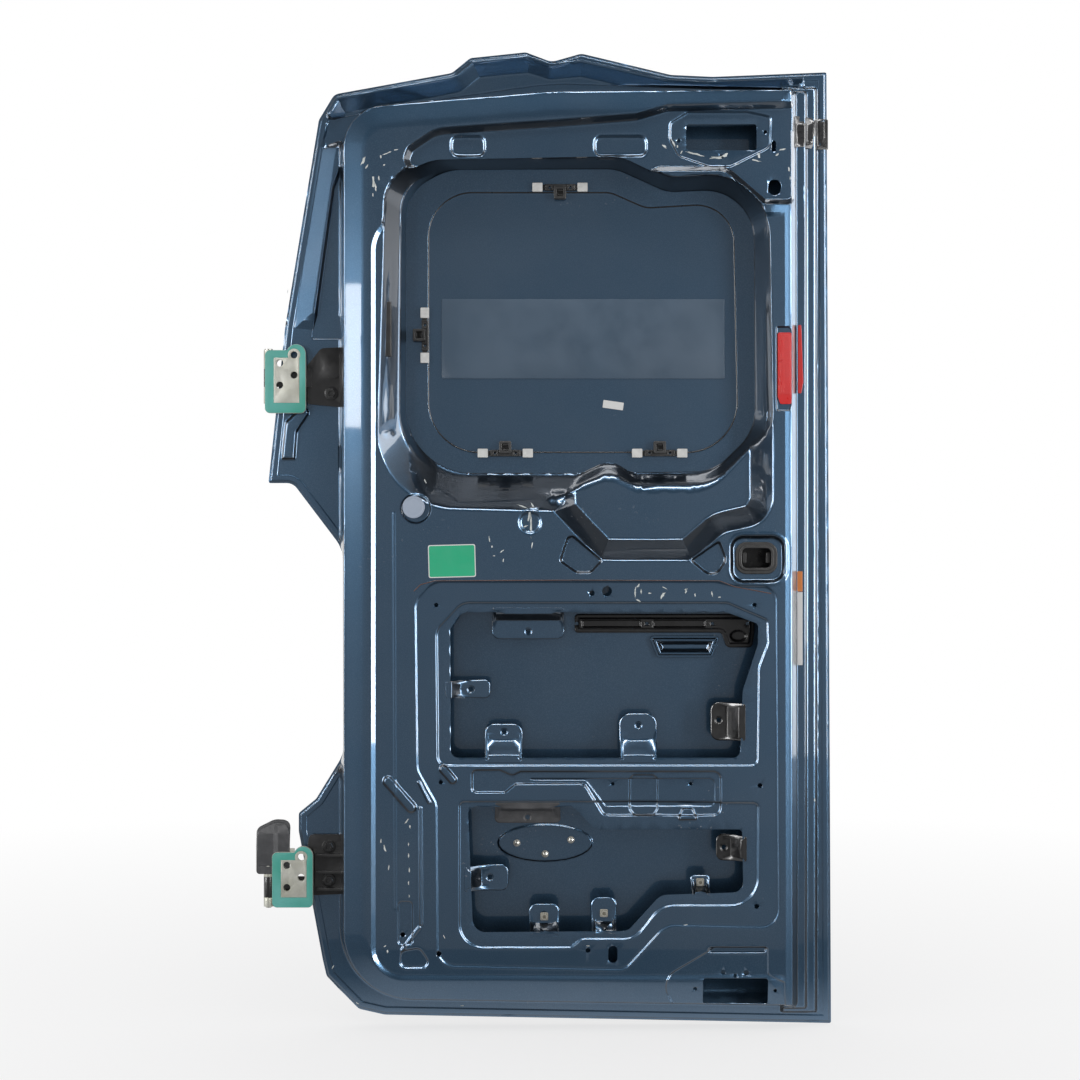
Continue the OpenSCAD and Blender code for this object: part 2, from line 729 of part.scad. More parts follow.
module handle_cup() {
    color("#2b333d") difference() {
        block(rx(281), rx(170), 24, deep_y - 0.3, mz(-121), mz(-87.3));
        block(rx(276), rx(175), 20, deep_y - 4, mz(-116), mz(-93));
    }
}

module upper_left_bracket() {
    color("#2a3440") side_tab(lx(158), lx(217), 277, 306, false);
}

module upper_lower_left_bracket() {
    color("#2a3440") angle_tab(lx(208), lx(267), 190, 238, true);
}

module upper_lower_mid_bracket() {
    color("#2a3440") angle_tab(rx(329), rx(270), 190, 254, true);
}

module upper_right_bracket() {
    color("#15171a") side_tab(rx(188), rx(146), 212, 272, true);
}

module upper_top_plate() {
    color("#15171a") angle_tab(lx(219), lx(331), mz(-91), mz(-51), false);
}

module lower_left_bracket() {
    color("#2a3440") side_tab(lx(187), lx(245), -18, 23, false);
}

module lower_top_bracket() {
    color("#15171a") angle_tab(lx(223), lx(325), 86, 111, false);
}

module lower_right_bracket() {
    color("#15171a") side_tab(rx(180), rx(144), 28, 70, true);
}

// The three foot brackets, each with a nut on its tab
tab_x = [276, 372, 220];
tab_z = [151, 151, 212];
tab_w = [47, 40, 31];
tab_h = [38, 48, 21];
foot_places = [
    [lx(tab_x[0]), lx(tab_x[0] + tab_w[0]), bz(tab_z[0]), bz(tab_z[0] + tab_h[0])],
    [rx(tab_x[1]), rx(tab_x[1] - tab_w[1]), bz(tab_z[1]), bz(tab_z[1] + tab_h[1])],
    [rx(tab_x[2]), rx(tab_x[2] - tab_w[2]), bz(tab_z[2]), bz(tab_z[2] + tab_h[2])]
];
nut_r = 6;
nut_l = 6;
module lower_foot_brackets() {
    color("#2a3440") for (f = foot_places) angle_tab(f[0], f[1], f[2], f[3], true);
}

module clip_nuts() {
    y1 = bracket_y + angle_drop - bracket_t - 0.1;
    color("#c9c6b8") for (f = foot_places)
        bar_y((f[0] + f[1]) / 2, (f[2] + f[3]) / 2, nut_r, y1 - nut_l, y1);
}

// Stud ends on the badge seat: offsets from its middle
studs = [[-44, 0], [0, -17], [40, 5]];
stud_l = 8;
module badge_studs() {
    y1 = deep_y - seat_step - 0.2;
    color("#c8c8c4") for (p = studs)
        bar_y(seat_x + p[0], seat_z + p[1], stud_r, y1 - stud_l, y1);
}

upper_hinge_leaf();
lower_hinge_leaf();
upper_hinge_gasket();
lower_hinge_gasket();
upper_hinge_pin();
lower_hinge_pin();
lower_hinge_cover();
outer_skin();
inner_panel();
upper_hinge_arm();
lower_hinge_arm();
upper_arm_bolts();
lower_arm_bolts();
damping_pad();
trim_clips();
clip_pads();
side_wall_clip();
round_plug();
release_bezel();
red_reflector();
handle_reinforcement();
handle_cup();
upper_left_bracket();
upper_lower_left_bracket();
upper_lower_mid_bracket();
upper_right_bracket();
upper_top_plate();
badge_studs();
lower_left_bracket();
lower_top_bracket();
lower_foot_brackets();
lower_right_bracket();
clip_nuts();
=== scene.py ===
"""Looks of a van's rear barn door, seen from inside: pressings, hinges and fittings."""

import json
import logging
import math
from dataclasses import dataclass, field
from enum import Enum

import bmesh
import bpy
import numpy as np
from mathutils import Matrix, Vector
from mathutils.geometry import delaunay_2d_cdt


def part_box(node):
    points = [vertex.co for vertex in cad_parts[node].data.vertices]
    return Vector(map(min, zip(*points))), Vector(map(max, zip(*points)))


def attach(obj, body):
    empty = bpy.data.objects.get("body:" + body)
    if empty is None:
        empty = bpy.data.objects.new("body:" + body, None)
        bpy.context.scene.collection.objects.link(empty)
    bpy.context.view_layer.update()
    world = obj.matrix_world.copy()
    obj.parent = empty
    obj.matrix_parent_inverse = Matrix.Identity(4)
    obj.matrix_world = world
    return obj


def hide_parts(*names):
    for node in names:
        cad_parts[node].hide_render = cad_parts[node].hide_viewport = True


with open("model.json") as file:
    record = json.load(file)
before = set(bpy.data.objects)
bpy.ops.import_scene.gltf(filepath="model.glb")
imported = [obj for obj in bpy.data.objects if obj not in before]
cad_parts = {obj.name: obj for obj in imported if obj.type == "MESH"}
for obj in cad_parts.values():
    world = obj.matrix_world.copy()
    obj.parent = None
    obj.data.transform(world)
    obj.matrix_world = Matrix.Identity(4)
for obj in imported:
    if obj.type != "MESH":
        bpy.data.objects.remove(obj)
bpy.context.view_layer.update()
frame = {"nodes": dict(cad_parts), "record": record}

LOG = logging.getLogger("door")
MM = 0.001

Corner = tuple[float, float, float]
Point = tuple[float, float]
Socket = bpy.types.NodeSocket


class Body(Enum):
    """The bodies that the pieces ride on."""

    DOOR = "door"
    VAN = "van_side"


def node_mm(name: str) -> tuple[Vector, Vector]:
    """Corners of a CAD node's box in millimetres."""
    low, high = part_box(name)
    return low / MM, high / MM


SKIN_LOW, SKIN_HIGH = node_mm("outer_skin")
LOCK_X = SKIN_HIGH.x
FOOT_Z = SKIN_LOW.z
HEAD_Z = SKIN_HIGH.z + 0.4
FRAME_X = 89.0
BELT_Z = 459.0
NEAR_Y = node_mm("inner_panel")[0].y
HEM_Y = 22.0
SHEET_T = 1.2
SEAT_GAP = 0.3
FLANGE_Y = HEM_Y - SHEET_T
DEEP_Y = HEM_Y + 22.0
FIELD_Y = DEEP_Y + 2.5
WINDOW_Y = DEEP_Y - SEAT_GAP - SHEET_T
LEDGE_Y = NEAR_Y + 14.0
REFLECTOR_Y = NEAR_Y + 8.0
LOCK_STEP_Y = NEAR_Y + 33.0
SERVICE_Y = NEAR_Y + 4.0
RIM_Y = SERVICE_Y + 3.0
UPPER_HINGE_Z = 772.0
BEYOND = 200.0
GRID_START = 7.0
DUST_TINT = (0.32, 0.31, 0.29)
DOOR_MIDDLE = (0.38, 0.0, 0.5)


def added(name: str, data: bpy.types.ID) -> bpy.types.Object:
    """A new object in the scene.

    Args:
        name: its name.
        data: its mesh, curve, camera or light.

    Returns:
        The object.
    """
    obj = bpy.data.objects.new(name, data)
    bpy.context.scene.collection.objects.link(obj)
    return obj


def baked(obj: bpy.types.Object) -> bpy.types.Mesh:
    """A mesh of the object as it looks with its modifiers.

    Args:
        obj: the object.

    Returns:
        The new mesh.
    """
    bpy.context.view_layer.update()
    seen = obj.evaluated_get(bpy.context.evaluated_depsgraph_get())
    return bpy.data.meshes.new_from_object(seen)


def settle(obj: bpy.types.Object) -> None:
    """Work an object's modifiers into its mesh.

    Args:
        obj: the object.
    """
    mesh = baked(obj)
    obj.modifiers.clear()
    obj.data = mesh


def rx(d: float) -> float:
    """X at a distance from the lock-side edge, in millimetres."""
    return LOCK_X - d


def lx(d: float) -> float:
    """X at a distance from the hinge-side wall, in millimetres."""
    return FRAME_X + d


def tz(d: float) -> float:
    """Z at a distance below the highest edge, in millimetres."""
    return HEAD_Z - d


def bz(d: float) -> float:
    """Z at a distance above the lowest edge, in millimetres."""
    return FOOT_Z + d


def mz(d: float) -> float:
    """Z at a distance above the top of the service area, in millimetres."""
    return BELT_Z + d


@dataclass(frozen=True)
class Outline:
    """A closed outline of round corners, anticlockwise seen from inside the van."""

    corners: tuple[Corner, ...]

    def edges(self) -> np.ndarray:
        """Unit direction of the edge that leaves each corner.

        Returns:
            An array of x and z pairs.
        """
        p = np.array(self.corners)[:, :2]
        e = np.roll(p, -1, axis=0) - p
        return e / np.linalg.norm(e, axis=1)[:, None]

    def inset(self, d: float) -> "Outline":
        """The same outline moved inwards by d millimetres.

        Args:
            d: the distance, negative to grow.

        Returns:
            The parallel outline.
        """
        out: list[Corner] = []
        e = self.edges()
        for i, (x, z, r) in enumerate(self.corners):
            a, b = e[i - 1], e[i]
            na, nb = np.array([-a[1], a[0]]), np.array([-b[1], b[0]])
            m = (na + nb) / (1 + na @ nb)
            turn = math.copysign(1.0, a[0] * b[1] - a[1] * b[0])
            out.append((x + d * m[0], z + d * m[1], max(0.5, r - turn * d)))
        return Outline(tuple(out))

    def points(self, step: float = 4.0, straight: float = 24.0) -> np.ndarray:
        """Points along the outline.

        Args:
            step: longest piece of an arc.
            straight: longest piece of a straight stretch.

        Returns:
            An array of x and z pairs in millimetres.
        """
        e = self.edges()
        out: list[np.ndarray] = []
        for i, (x, z, r) in enumerate(self.corners):
            a, b = e[i - 1], e[i]
            na, nb = np.array([-a[1], a[0]]), np.array([-b[1], b[0]])
            cross = a[0] * b[1] - a[1] * b[0]
            turn = math.copysign(1.0, cross)
            centre = np.array([x, z]) + r * turn * (na + nb) / (1 + na @ nb)
            angle = math.atan2(cross, float(a @ b))
            start = -turn * na
            n = max(2, math.ceil(abs(angle) * r / step), math.ceil(abs(angle) / 0.35))
            for k in range(n + 1):
                t = angle * k / n
                c, s = math.cos(t), math.sin(t)
                turned = np.array([start[0] * c - start[1] * s, start[0] * s + start[1] * c])
                out.append(centre + r * turned)
        dense: list[np.ndarray] = []
        for p, q in zip(out, out[1:] + out[:1]):
            gap = float(np.linalg.norm(q - p))
            n = max(1, math.ceil(gap / straight))
            dense.extend(p + (q - p) * k / n for k in range(n))
        return np.array(dense)


def rect(x0: float, x1: float, z0: float, z1: float, r: float) -> Outline:
    """A rectangle with round corners."""
    return Outline(((x0, z0, r), (x1, z0, r), (x1, z1, r), (x0, z1, r)))


def oval(x: float, z: float, rx_: float, rz_: float, n: int = 12) -> Outline:
    """A smooth oval about a centre.

    Args:
        x: middle.
        z: middle.
        rx_: half width.
        rz_: half height.
        n: number of corners that are rounded off.

    Returns:
        The outline.
    """
    ring = [2 * math.pi * k / n for k in range(n)]
    r = 0.9 * min(rx_, rz_) ** 2 / max(rx_, rz_)
    pts = [(x + rx_ * math.cos(t) * 1.02, z + rz_ * math.sin(t) * 1.02, r) for t in ring]
    return Outline(tuple(pts))


def turned(o: Outline, x: float, z: float, degrees: float) -> Outline:
    """An outline turned about a point.

    Args:
        o: the outline.
        x: the point.
        z: the point.
        degrees: the turn.

    Returns:
        The turned outline.
    """
    c, s = math.cos(math.radians(degrees)), math.sin(math.radians(degrees))
    return Outline(tuple(
        (x + (px - x) * c - (pz - z) * s, z + (px - x) * s + (pz - z) * c, r)
        for px, pz, r in o.corners
    ))


def bar(x0: float, z0: float, x1: float, z1: float, half: float) -> Outline:
    """A round-ended bar between two points.

    Args:
        x0: start.
        z0: start.
        x1: end.
        z1: end.
        half: half its width.

    Returns:
        The outline.
    """
    d = np.array([x1 - x0, z1 - z0])
    d = d / np.linalg.norm(d) * half
    n = np.array([-d[1], d[0]])
    p, q = np.array([x0, z0]) - d, np.array([x1, z1]) + d
    r = half * 0.98
    return Outline(tuple(
        (float(c[0]), float(c[1]), r) for c in (p - n, q - n, q + n, p + n)
    ))


def inside(points: np.ndarray, poly: np.ndarray) -> np.ndarray:
    """True for each point within a closed polygon.

    Args:
        points: x and z pairs.
        poly: the polygon's corners.

    Returns:
        An array of booleans.
    """
    out = np.zeros(len(points), bool)
    x, z = points[:, 0], points[:, 1]
    for (x0, z0), (x1, z1) in zip(poly, np.roll(poly, -1, axis=0)):
        if z0 == z1:
            continue
        cross = (z0 > z) != (z1 > z)
        out ^= cross & (x < (x1 - x0) * (z - z0) / (z1 - z0) + x0)
    return out


def depth_in(points: np.ndarray, poly: np.ndarray, reach: float) -> np.ndarray:
    """Distance of each point inside a polygon from its edge, negative outside.

    Args:
        points: x and z pairs.
        poly: the polygon's corners.
        reach: not used.

    Returns:
        The signed distances.
    """
    out = np.full(len(points), -1e6)
    low, high = poly.min(0) - 1, poly.max(0) + 1
    near = np.all((points > low) & (points < high), axis=1)
    if not near.any():
        return out
    p = points[near]
    best = np.full(len(p), 1e12)
    for a, b in zip(poly, np.roll(poly, -1, axis=0)):
        ab = b - a
        t = np.clip(((p - a) @ ab) / max(ab @ ab, 1e-9), 0, 1)
        off = p - a - t[:, None] * ab
        best = np.minimum(best, (off * off).sum(1))
    d = np.sqrt(best)
    out[near] = np.where(inside(p, poly), d, -d)
    return out


def ramp(t: np.ndarray, soft: float) -> np.ndarray:
    """Rise from 0 to 1 with round ends.

    Args:
        t: position across the wall, 0 to 1.
        soft: share of the wall that each round end takes, up to 0.5.

    Returns:
        The height share.
    """
    t = np.clip(t, 0, 1)
    k = 1 / (2 * soft * (1 - soft))
    return np.where(
        t < soft, k * t * t,
        np.where(t > 1 - soft, 1 - k * (1 - t) ** 2, (t - soft / 2) / (1 - soft)),
    )


@dataclass(frozen=True)
class Pressing:
    """A pressed form: the sheet goes to a level, or by a depth, within an outline."""

    outline: Outline
    wall: float
    level: float | None = None
    by: float = 0.0
    soft: float = 0.35
    fine: float = 4.0

    def rings(self) -> list[np.ndarray]:
        """Closed lines of points across the wall, from its outer to its inner edge.

        Returns:
            One array of x and z pairs for each line.
        """
        s, w = self.soft, self.wall
        offs = (-2.5, -0.15, w * s * 0.5, w * s, w * 0.5, w * (1 - s), w * (1 - s * 0.5),
                w + 0.15, w + 2.5)
        before = self.outline.edges()
        out: list[np.ndarray] = []
        for d in offs:
            moved = self.outline.inset(d)
            after = moved.edges()
            if np.isfinite(after).all() and ((after * before).sum(1) > 0.5).all():
                out.append(moved.points(self.fine))
        return out

    def apply(self, points: np.ndarray, y: np.ndarray) -> np.ndarray:
        """The sheet's depth after this pressing.

        Args:
            points: x and z pairs.
            y: depth before.

        Returns:
            Depth after.
        """
        d = depth_in(points, self.outline.points(self.fine), self.wall)
        s = ramp(d / self.wall, self.soft)
        if self.level is None:
            return y + self.by * s
        return y * (1 - s) + self.level * s


def pressed_sheet(
    name: str, edge: Outline, base: float, forms: list[Pressing], holes: list[Outline],
    grid: float = 30.0, lift_by: float = 0.0,
) -> bpy.types.Object:
    """A pressed sheet as a mesh whose lines follow every form.

    Args:
        name: name of the piece.
        edge: outer edge of the sheet.
        base: depth of the sheet before pressing.
        forms: pressings in order.
        holes: outlines cut out of the sheet.
        grid: spacing of the points between the forms.
        lift_by: distance of the result in front of the pressed sheet.

    Returns:
        The new object, one face thick.
    """
    coords: list[np.ndarray] = []
    links: list[tuple[int, int]] = []
    rings = [edge.points(3.0)] + [h.points(2.5, 16) for h in holes]
    for form in forms:
        rings.extend(form.rings())
    count = 0
    border = rings[0]
    for k, ring in enumerate(rings):
        keep = np.ones(len(ring), bool) if k == 0 else inside(ring, border)
        n = len(ring)
        index = np.cumsum(keep) - 1 + count
        coords.append(ring[keep])
        links.extend(
            (int(index[i]), int(index[(i + 1) % n]))
            for i in range(n) if keep[i] and keep[(i + 1) % n]
        )
        count += int(keep.sum())
    low, high = border.min(0), border.max(0)
    columns, rows = (np.arange(low[i] + GRID_START, high[i], grid) for i in (0, 1))
    gx, gz = np.meshgrid(columns, rows)
    free = np.stack([gx.ravel(), gz.ravel()], 1)
    free = free[inside(free, border)]
    coords.append(free)
    verts2d = [Vector((float(x), float(z))) for x, z in np.concatenate(coords)]
    got = delaunay_2d_cdt(verts2d, links, [], 0, 0.02)
    flat = np.array([(v.x, v.y) for v in got[0]])
    faces = np.array([f for f in got[2] if len(f) == 3])
    mid = flat[faces].mean(1)
    keep = inside(mid, border)
    for hole in holes:
        keep &= ~inside(mid, hole.points(2.5, 16))
    faces = faces[keep]
    y = np.full(len(flat), base)
    for form in forms:
        y = form.apply(flat, y)
    y = y - lift_by
    used = np.unique(faces)
    remap = np.full(len(flat), -1)
    remap[used] = np.arange(len(used))
    verts = np.stack([flat[used, 0], y[used], flat[used, 1]], 1) * MM
    tri = remap[faces]
    a, b, c = (flat[faces[:, i]] for i in range(3))
    area = (b[:, 0] - a[:, 0]) * (c[:, 1] - a[:, 1]) - (b[:, 1] - a[:, 1]) * (c[:, 0] - a[:, 0])
    tri[area < 0] = tri[area < 0][:, ::-1]
    mesh = bpy.data.meshes.new(name)
    mesh.from_pydata(verts.tolist(), [], tri.tolist())
    mesh.validate()
    mesh.shade_smooth()
    LOG.info("%s: %d faces", name, len(mesh.polygons))
    return added(name, mesh)


SKIN_EDGE = Outline((
    (142, bz(13), 30), (rx(0), bz(0), 3), (rx(7), tz(31), 3), (rx(183), tz(38), 40),
    (rx(248), tz(35), 40), (rx(386), tz(2), 20), (rx(432), tz(15), 25), (360, tz(0), 12),
    (274, tz(9), 12), (246, tz(32), 20), (64, tz(65), 16), (40, tz(105), 10),
    (-12, 850, 30), (-38, 608, 3), (0, 608, 20), (FRAME_X - 11, 505, 60),
    (FRAME_X - 10, 190, 60), (36, 120, 15), (9, 98, 6), (9, 70, 20), (46, -128, 40),
    (52, -154, 10), (102, -205, 14),
))
BOX_EDGE = Outline((
    (72, bz(38), 115), (rx(54), bz(27), 12), (rx(56), tz(57), 14), (rx(432), tz(60), 300),
    (200, tz(76), 100), (72, tz(88), 74),
))
BULGE_EDGE = Outline((
    (lx(6), bz(22), 90), (rx(22), bz(22), 30), (rx(26), tz(56), 30), (rx(432), tz(60), 300),
    (225, tz(76), 100), (lx(4), tz(96), 80),
))
FIELD_EDGE = Outline((
    (lx(118), mz(196), 80), (rx(140), mz(196), 80), (rx(148), tz(228), 60),
    (rx(285), tz(236), 40), (rx(340), tz(212), 40), (lx(118), tz(212), 70),
))
WINDOW_OUTER = Outline((
    (130, 568, 120), (404, 561, 12), (487, 598, 45), (535, 573, 50), (640, 573, 90),
    (738, 680, 90), (731, 1083, 95), (580, 1071, 60), (505, 1107, 80), (215, 1101, 80),
    (146, 1072, 60),
))
WINDOW_INNER = Outline((
    (173, 624, 104), (446, 624, 40), (491, 645, 34), (524, 625, 34), (652, 627, 70),
    (716, 690, 80), (714, 1067, 76), (580, 1061, 60), (500, 1097, 70), (238, 1096, 90),
    (174, 1060, 66),
))
UPPER_HOLE = Outline((
    (246, 188, 12), (rx(145), 188, 12), (rx(141), 290, 20), (rx(118), 360, 20),
    (rx(117), 392, 8), (rx(166), 410, 20), (262, 410, 20), (245, 384, 8),
))
LOWER_HOLE = Outline((
    (280, bz(149), 20), (rx(316), bz(151), 20), (rx(266), bz(206), 24), (rx(140), bz(210), 16),
    (rx(142), 79, 6), (rx(366), 79, 20), (rx(398), 113, 20), (272, 113, 10),
))
RELEASE_EDGE = rect(rx(162), rx(75), mz(-6), mz(70), 22)
RELEASE_HOLE = rect(rx(143), rx(97), mz(18), mz(49), 8)
UPPER_LATCH_HOLE = rect(rx(227), rx(119), tz(159), tz(119), 4)
LOWER_LATCH_HOLE = rect(rx(202), rx(103), bz(40), bz(80), 4)


SLOPE_SHARES = (0.0, 0.04, 0.08, 0.14, 0.3, 0.5, 0.64, 0.72, 0.77, 0.8, 0.84, 0.9, 0.96, 1.0)


@dataclass(frozen=True)
class Slope(Pressing):
    """A recess whose wall runs between two outlines of its own, and not at one width."""

    inner: Outline = WINDOW_INNER
    knee: tuple[float, float] = (0.80, 0.46)

    def mixed(self, t: float) -> Outline:
        """The outline at a share of the way across the wall.

        Args:
            t: the share, 0 to 1.

        Returns:
            The outline between the outer and the inner one.
        """
        return Outline(tuple(
            (a[0] + (b[0] - a[0]) * t, a[1] + (b[1] - a[1]) * t, a[2] + (b[2] - a[2]) * t)
            for a, b in zip(self.outline.corners, self.inner.corners)
        ))

    def rings(self) -> list[np.ndarray]:
        """Closed lines of points across the wall, from its outer to its inner edge.

        Returns:
            One array of x and z pairs for each line.
        """
        out = [self.mixed(t).points(self.fine) for t in SLOPE_SHARES]
        return out + [self.outline.inset(-2.5).points(self.fine)]

    def apply(self, points: np.ndarray, y: np.ndarray) -> np.ndarray:
        """The sheet's depth after this recess.

        Args:
            points: x and z pairs.
            y: depth before.

        Returns:
            Depth after.
        """
        share = np.zeros(len(points))
        before = depth_in(points, self.mixed(0.0).points(self.fine), 0)
        for t, u in zip(SLOPE_SHARES, SLOPE_SHARES[1:]):
            after = depth_in(points, self.mixed(u).points(self.fine), 0)
            between = (before >= 0) & (after < 0)
            share = np.where(between, t + (u - t) * before / (before - after + 1e-9), share)
            share = np.where(after >= 0, u, share)
            before = after
        near, far = self.knee
        past = ramp((share - near) / (1 - near), 0.4)
        bent = far * ramp(share / near, self.soft) + (1 - far) * past
        left = np.clip((220 - points[:, 0]) / 40, 0, 1)
        s = left * bent + (1 - left) * ramp(share, self.soft)
        return np.where(s > 0, np.maximum(y, SERVICE_Y + s * (self.level - SERVICE_Y)), y)


def sink(o: Outline, wall: float, level: float, soft: float = 0.35) -> Pressing:
    """A recess down to a level; the sheet stays where it is already deeper."""
    return Recess(o, wall, level, 0.0, soft)


def lift(o: Outline, wall: float, by: float, soft: float = 0.4, fine: float = 3.0) -> Pressing:
    """A bead that stands towards the viewer by a height."""
    return Pressing(o, wall, None, -by, soft, fine)


def dent(o: Outline, wall: float, by: float, soft: float = 0.4, fine: float = 3.0) -> Pressing:
    """A dent away from the viewer by a depth."""
    return Pressing(o, wall, None, by, soft, fine)


@dataclass(frozen=True)
class Recess(Pressing):
    """A recess that only lowers what stands higher than its level."""

    def apply(self, points: np.ndarray, y: np.ndarray) -> np.ndarray:
        """The sheet's depth after this recess.

        Args:
            points: x and z pairs.
            y: depth before.

        Returns:
            Depth after.
        """
        d = depth_in(points, self.outline.points(self.fine), self.wall)
        s = ramp(d / self.wall, self.soft)
        return y + s * np.maximum(self.level - y, 0)


class Nodes:
    """A short way to write node trees."""

    def __init__(self, tree: bpy.types.NodeTree) -> None:
        """Start on a tree."""
        self.tree = tree

    def add(self, kind: str, **values: object) -> bpy.types.Node:
        """Add a node.

        Args:
            kind: the node's type name.
            values: its properties, or its inputs with spaces written as underscores.

        Returns:
            The node.
        """
        node = self.tree.nodes.new(kind)
        for key, value in values.items():
            if hasattr(node, key) and not isinstance(value, Socket):
                setattr(node, key, value)
            else:
                self.feed(node.inputs[key.replace("_", " ")], value)
        return node

    def feed(self, socket: Socket, value: object) -> None:
        """Link a socket into an input, or set the input to a value.

        Args:
            socket: the input.
            value: a socket or a value.
        """
        if isinstance(value, Socket):
            self.tree.links.new(value, socket)
        else:
            socket.default_value = value

    def link(self, out: Socket, to: Socket) -> None:
        """Link two sockets."""
        self.tree.links.new(out, to)

    def where(self, output: str = "Object") -> Socket:
        """Coordinates of the shaded point."""
        return self.add("ShaderNodeTexCoord").outputs[output]

    def noise(self, at: Socket, scale: float, detail: float) -> Socket:
        """A noise value."""
        return self.add("ShaderNodeTexNoise", Vector=at, Scale=scale, Detail=detail).outputs[0]

    def group(self, tree: bpy.types.NodeTree, **values: float) -> Socket:
        """The first output of a shared group with its inputs set.

        Args:
            tree: the group.
            values: its inputs by name.

        Returns:
            The output.
        """
        node = self.add("ShaderNodeGroup", node_tree=tree)
        for key, value in values.items():
            node.inputs[key].default_value = value
        return node.outputs[0]

    def math(self, op: str, *values: object, clamp: bool = True) -> Socket:
        """The result of a math node on values or sockets.

        Args:
            op: the operation.
            values: what it works on.
            clamp: keep the result in 0 to 1.

        Returns:
            The result.
        """
        node = self.add("ShaderNodeMath", operation=op, use_clamp=clamp)
        for socket, value in zip(node.inputs, values):
            self.feed(socket, value)
        return node.outputs[0]

    def mix(self, share: object, a: object, b: object) -> Socket:
        """A colour mixed from two.

        Args:
            share: how much of the second.
            a: the first colour.
            b: the second colour.

        Returns:
            The mixed colour.
        """
        node = self.add("ShaderNodeMix", data_type="RGBA")
        self.feed(node.inputs[0], share)
        for socket, value in ((node.inputs[6], a), (node.inputs[7], b)):
            self.feed(socket, value if isinstance(value, Socket) else (*value, 1.0))
        return node.outputs[2]

    def span(
        self, value: Socket, low: float, high: float, a: float = 0.0, b: float = 1.0
    ) -> Socket:
        """A value mapped from one range to another, clamped.

        Args:
            value: the value.
            low: start of its range.
            high: end of its range.
            a: result at the start.
            b: result at the end.

        Returns:
            The mapped value.
        """
        node = self.add(
            "ShaderNodeMapRange", From_Min=low, From_Max=high, To_Min=a, To_Max=b, Value=value
        )
        return node.outputs[0]


class Effects:
    """Shader groups that several finishes share."""

    def __init__(self) -> None:
        """Build the groups once."""
        self.wave = self._wave()
        self.scuff = self._scuff()
        self.dust = self._dust()

    def _group(self, name: str, values: dict[str, float], outs: dict[str, str]) -> tuple[
        bpy.types.NodeTree, Nodes, bpy.types.Node, bpy.types.Node
    ]:
        """A new group with number inputs and typed outputs.

        Args:
            name: the group's name.
            values: its inputs and their values.
            outs: its outputs and their socket types.

        Returns:
            The group, its helper and its input and output nodes.
        """
        tree = bpy.data.node_groups.new(name, "ShaderNodeTree")
        for key, value in values.items():
            socket = tree.interface.new_socket(key, in_out="INPUT", socket_type="NodeSocketFloat")
            socket.default_value = value
        for key, kind in outs.items():
            tree.interface.new_socket(key, in_out="OUTPUT", socket_type=kind)
        n = Nodes(tree)
        return tree, n, n.add("NodeGroupInput"), n.add("NodeGroupOutput")

    def _wave(self) -> bpy.types.NodeTree:
        """Orange peel and slow waves of a pressed and painted sheet.

        Returns:
            The group.
        """
        tree, n, i, o = self._group(
            "sheet_wave", {"Peel": 1.0, "Waves": 1.0}, {"Height": "NodeSocketFloat"}
        )
        at = n.where()
        peel = n.math("MULTIPLY", n.noise(at, 420.0, 1.0), i.outputs["Peel"], clamp=False)
        slow = n.noise(at, 7.0, 1.0)
        both = n.math("MULTIPLY_ADD", slow, i.outputs["Waves"], peel, clamp=False)
        n.link(both, o.inputs["Height"])
        return tree

    def _scuff(self) -> bpy.types.NodeTree:
        """Fine scratches and small chips as a mask.

        Returns:
            The group.
        """
        tree, n, i, o = self._group("scuffs", {"Amount": 0.5}, {"Mask": "NodeSocketFloat"})
        at = n.where()
        areas = n.span(n.noise(at, 5.0, 3.0), 0.6, 0.7)
        chips = n.span(n.noise(at, 170.0, 4.0), 0.66, 0.7)
        both = n.math("MULTIPLY", areas, chips)
        n.link(n.math("MULTIPLY", both, i.outputs["Amount"]), o.inputs["Mask"])
        return tree

    def _dust(self) -> bpy.types.NodeTree:
        """Thin uneven dust as a mask.

        Returns:
            The group.
        """
        tree, n, i, o = self._group("dust", {"Amount": 0.5}, {"Mask": "NodeSocketFloat"})
        cover = n.span(n.noise(n.where(), 9.0, 6.0), 0.4, 0.75)
        n.link(n.math("MULTIPLY", cover, i.outputs["Amount"]), o.inputs["Mask"])
        return tree


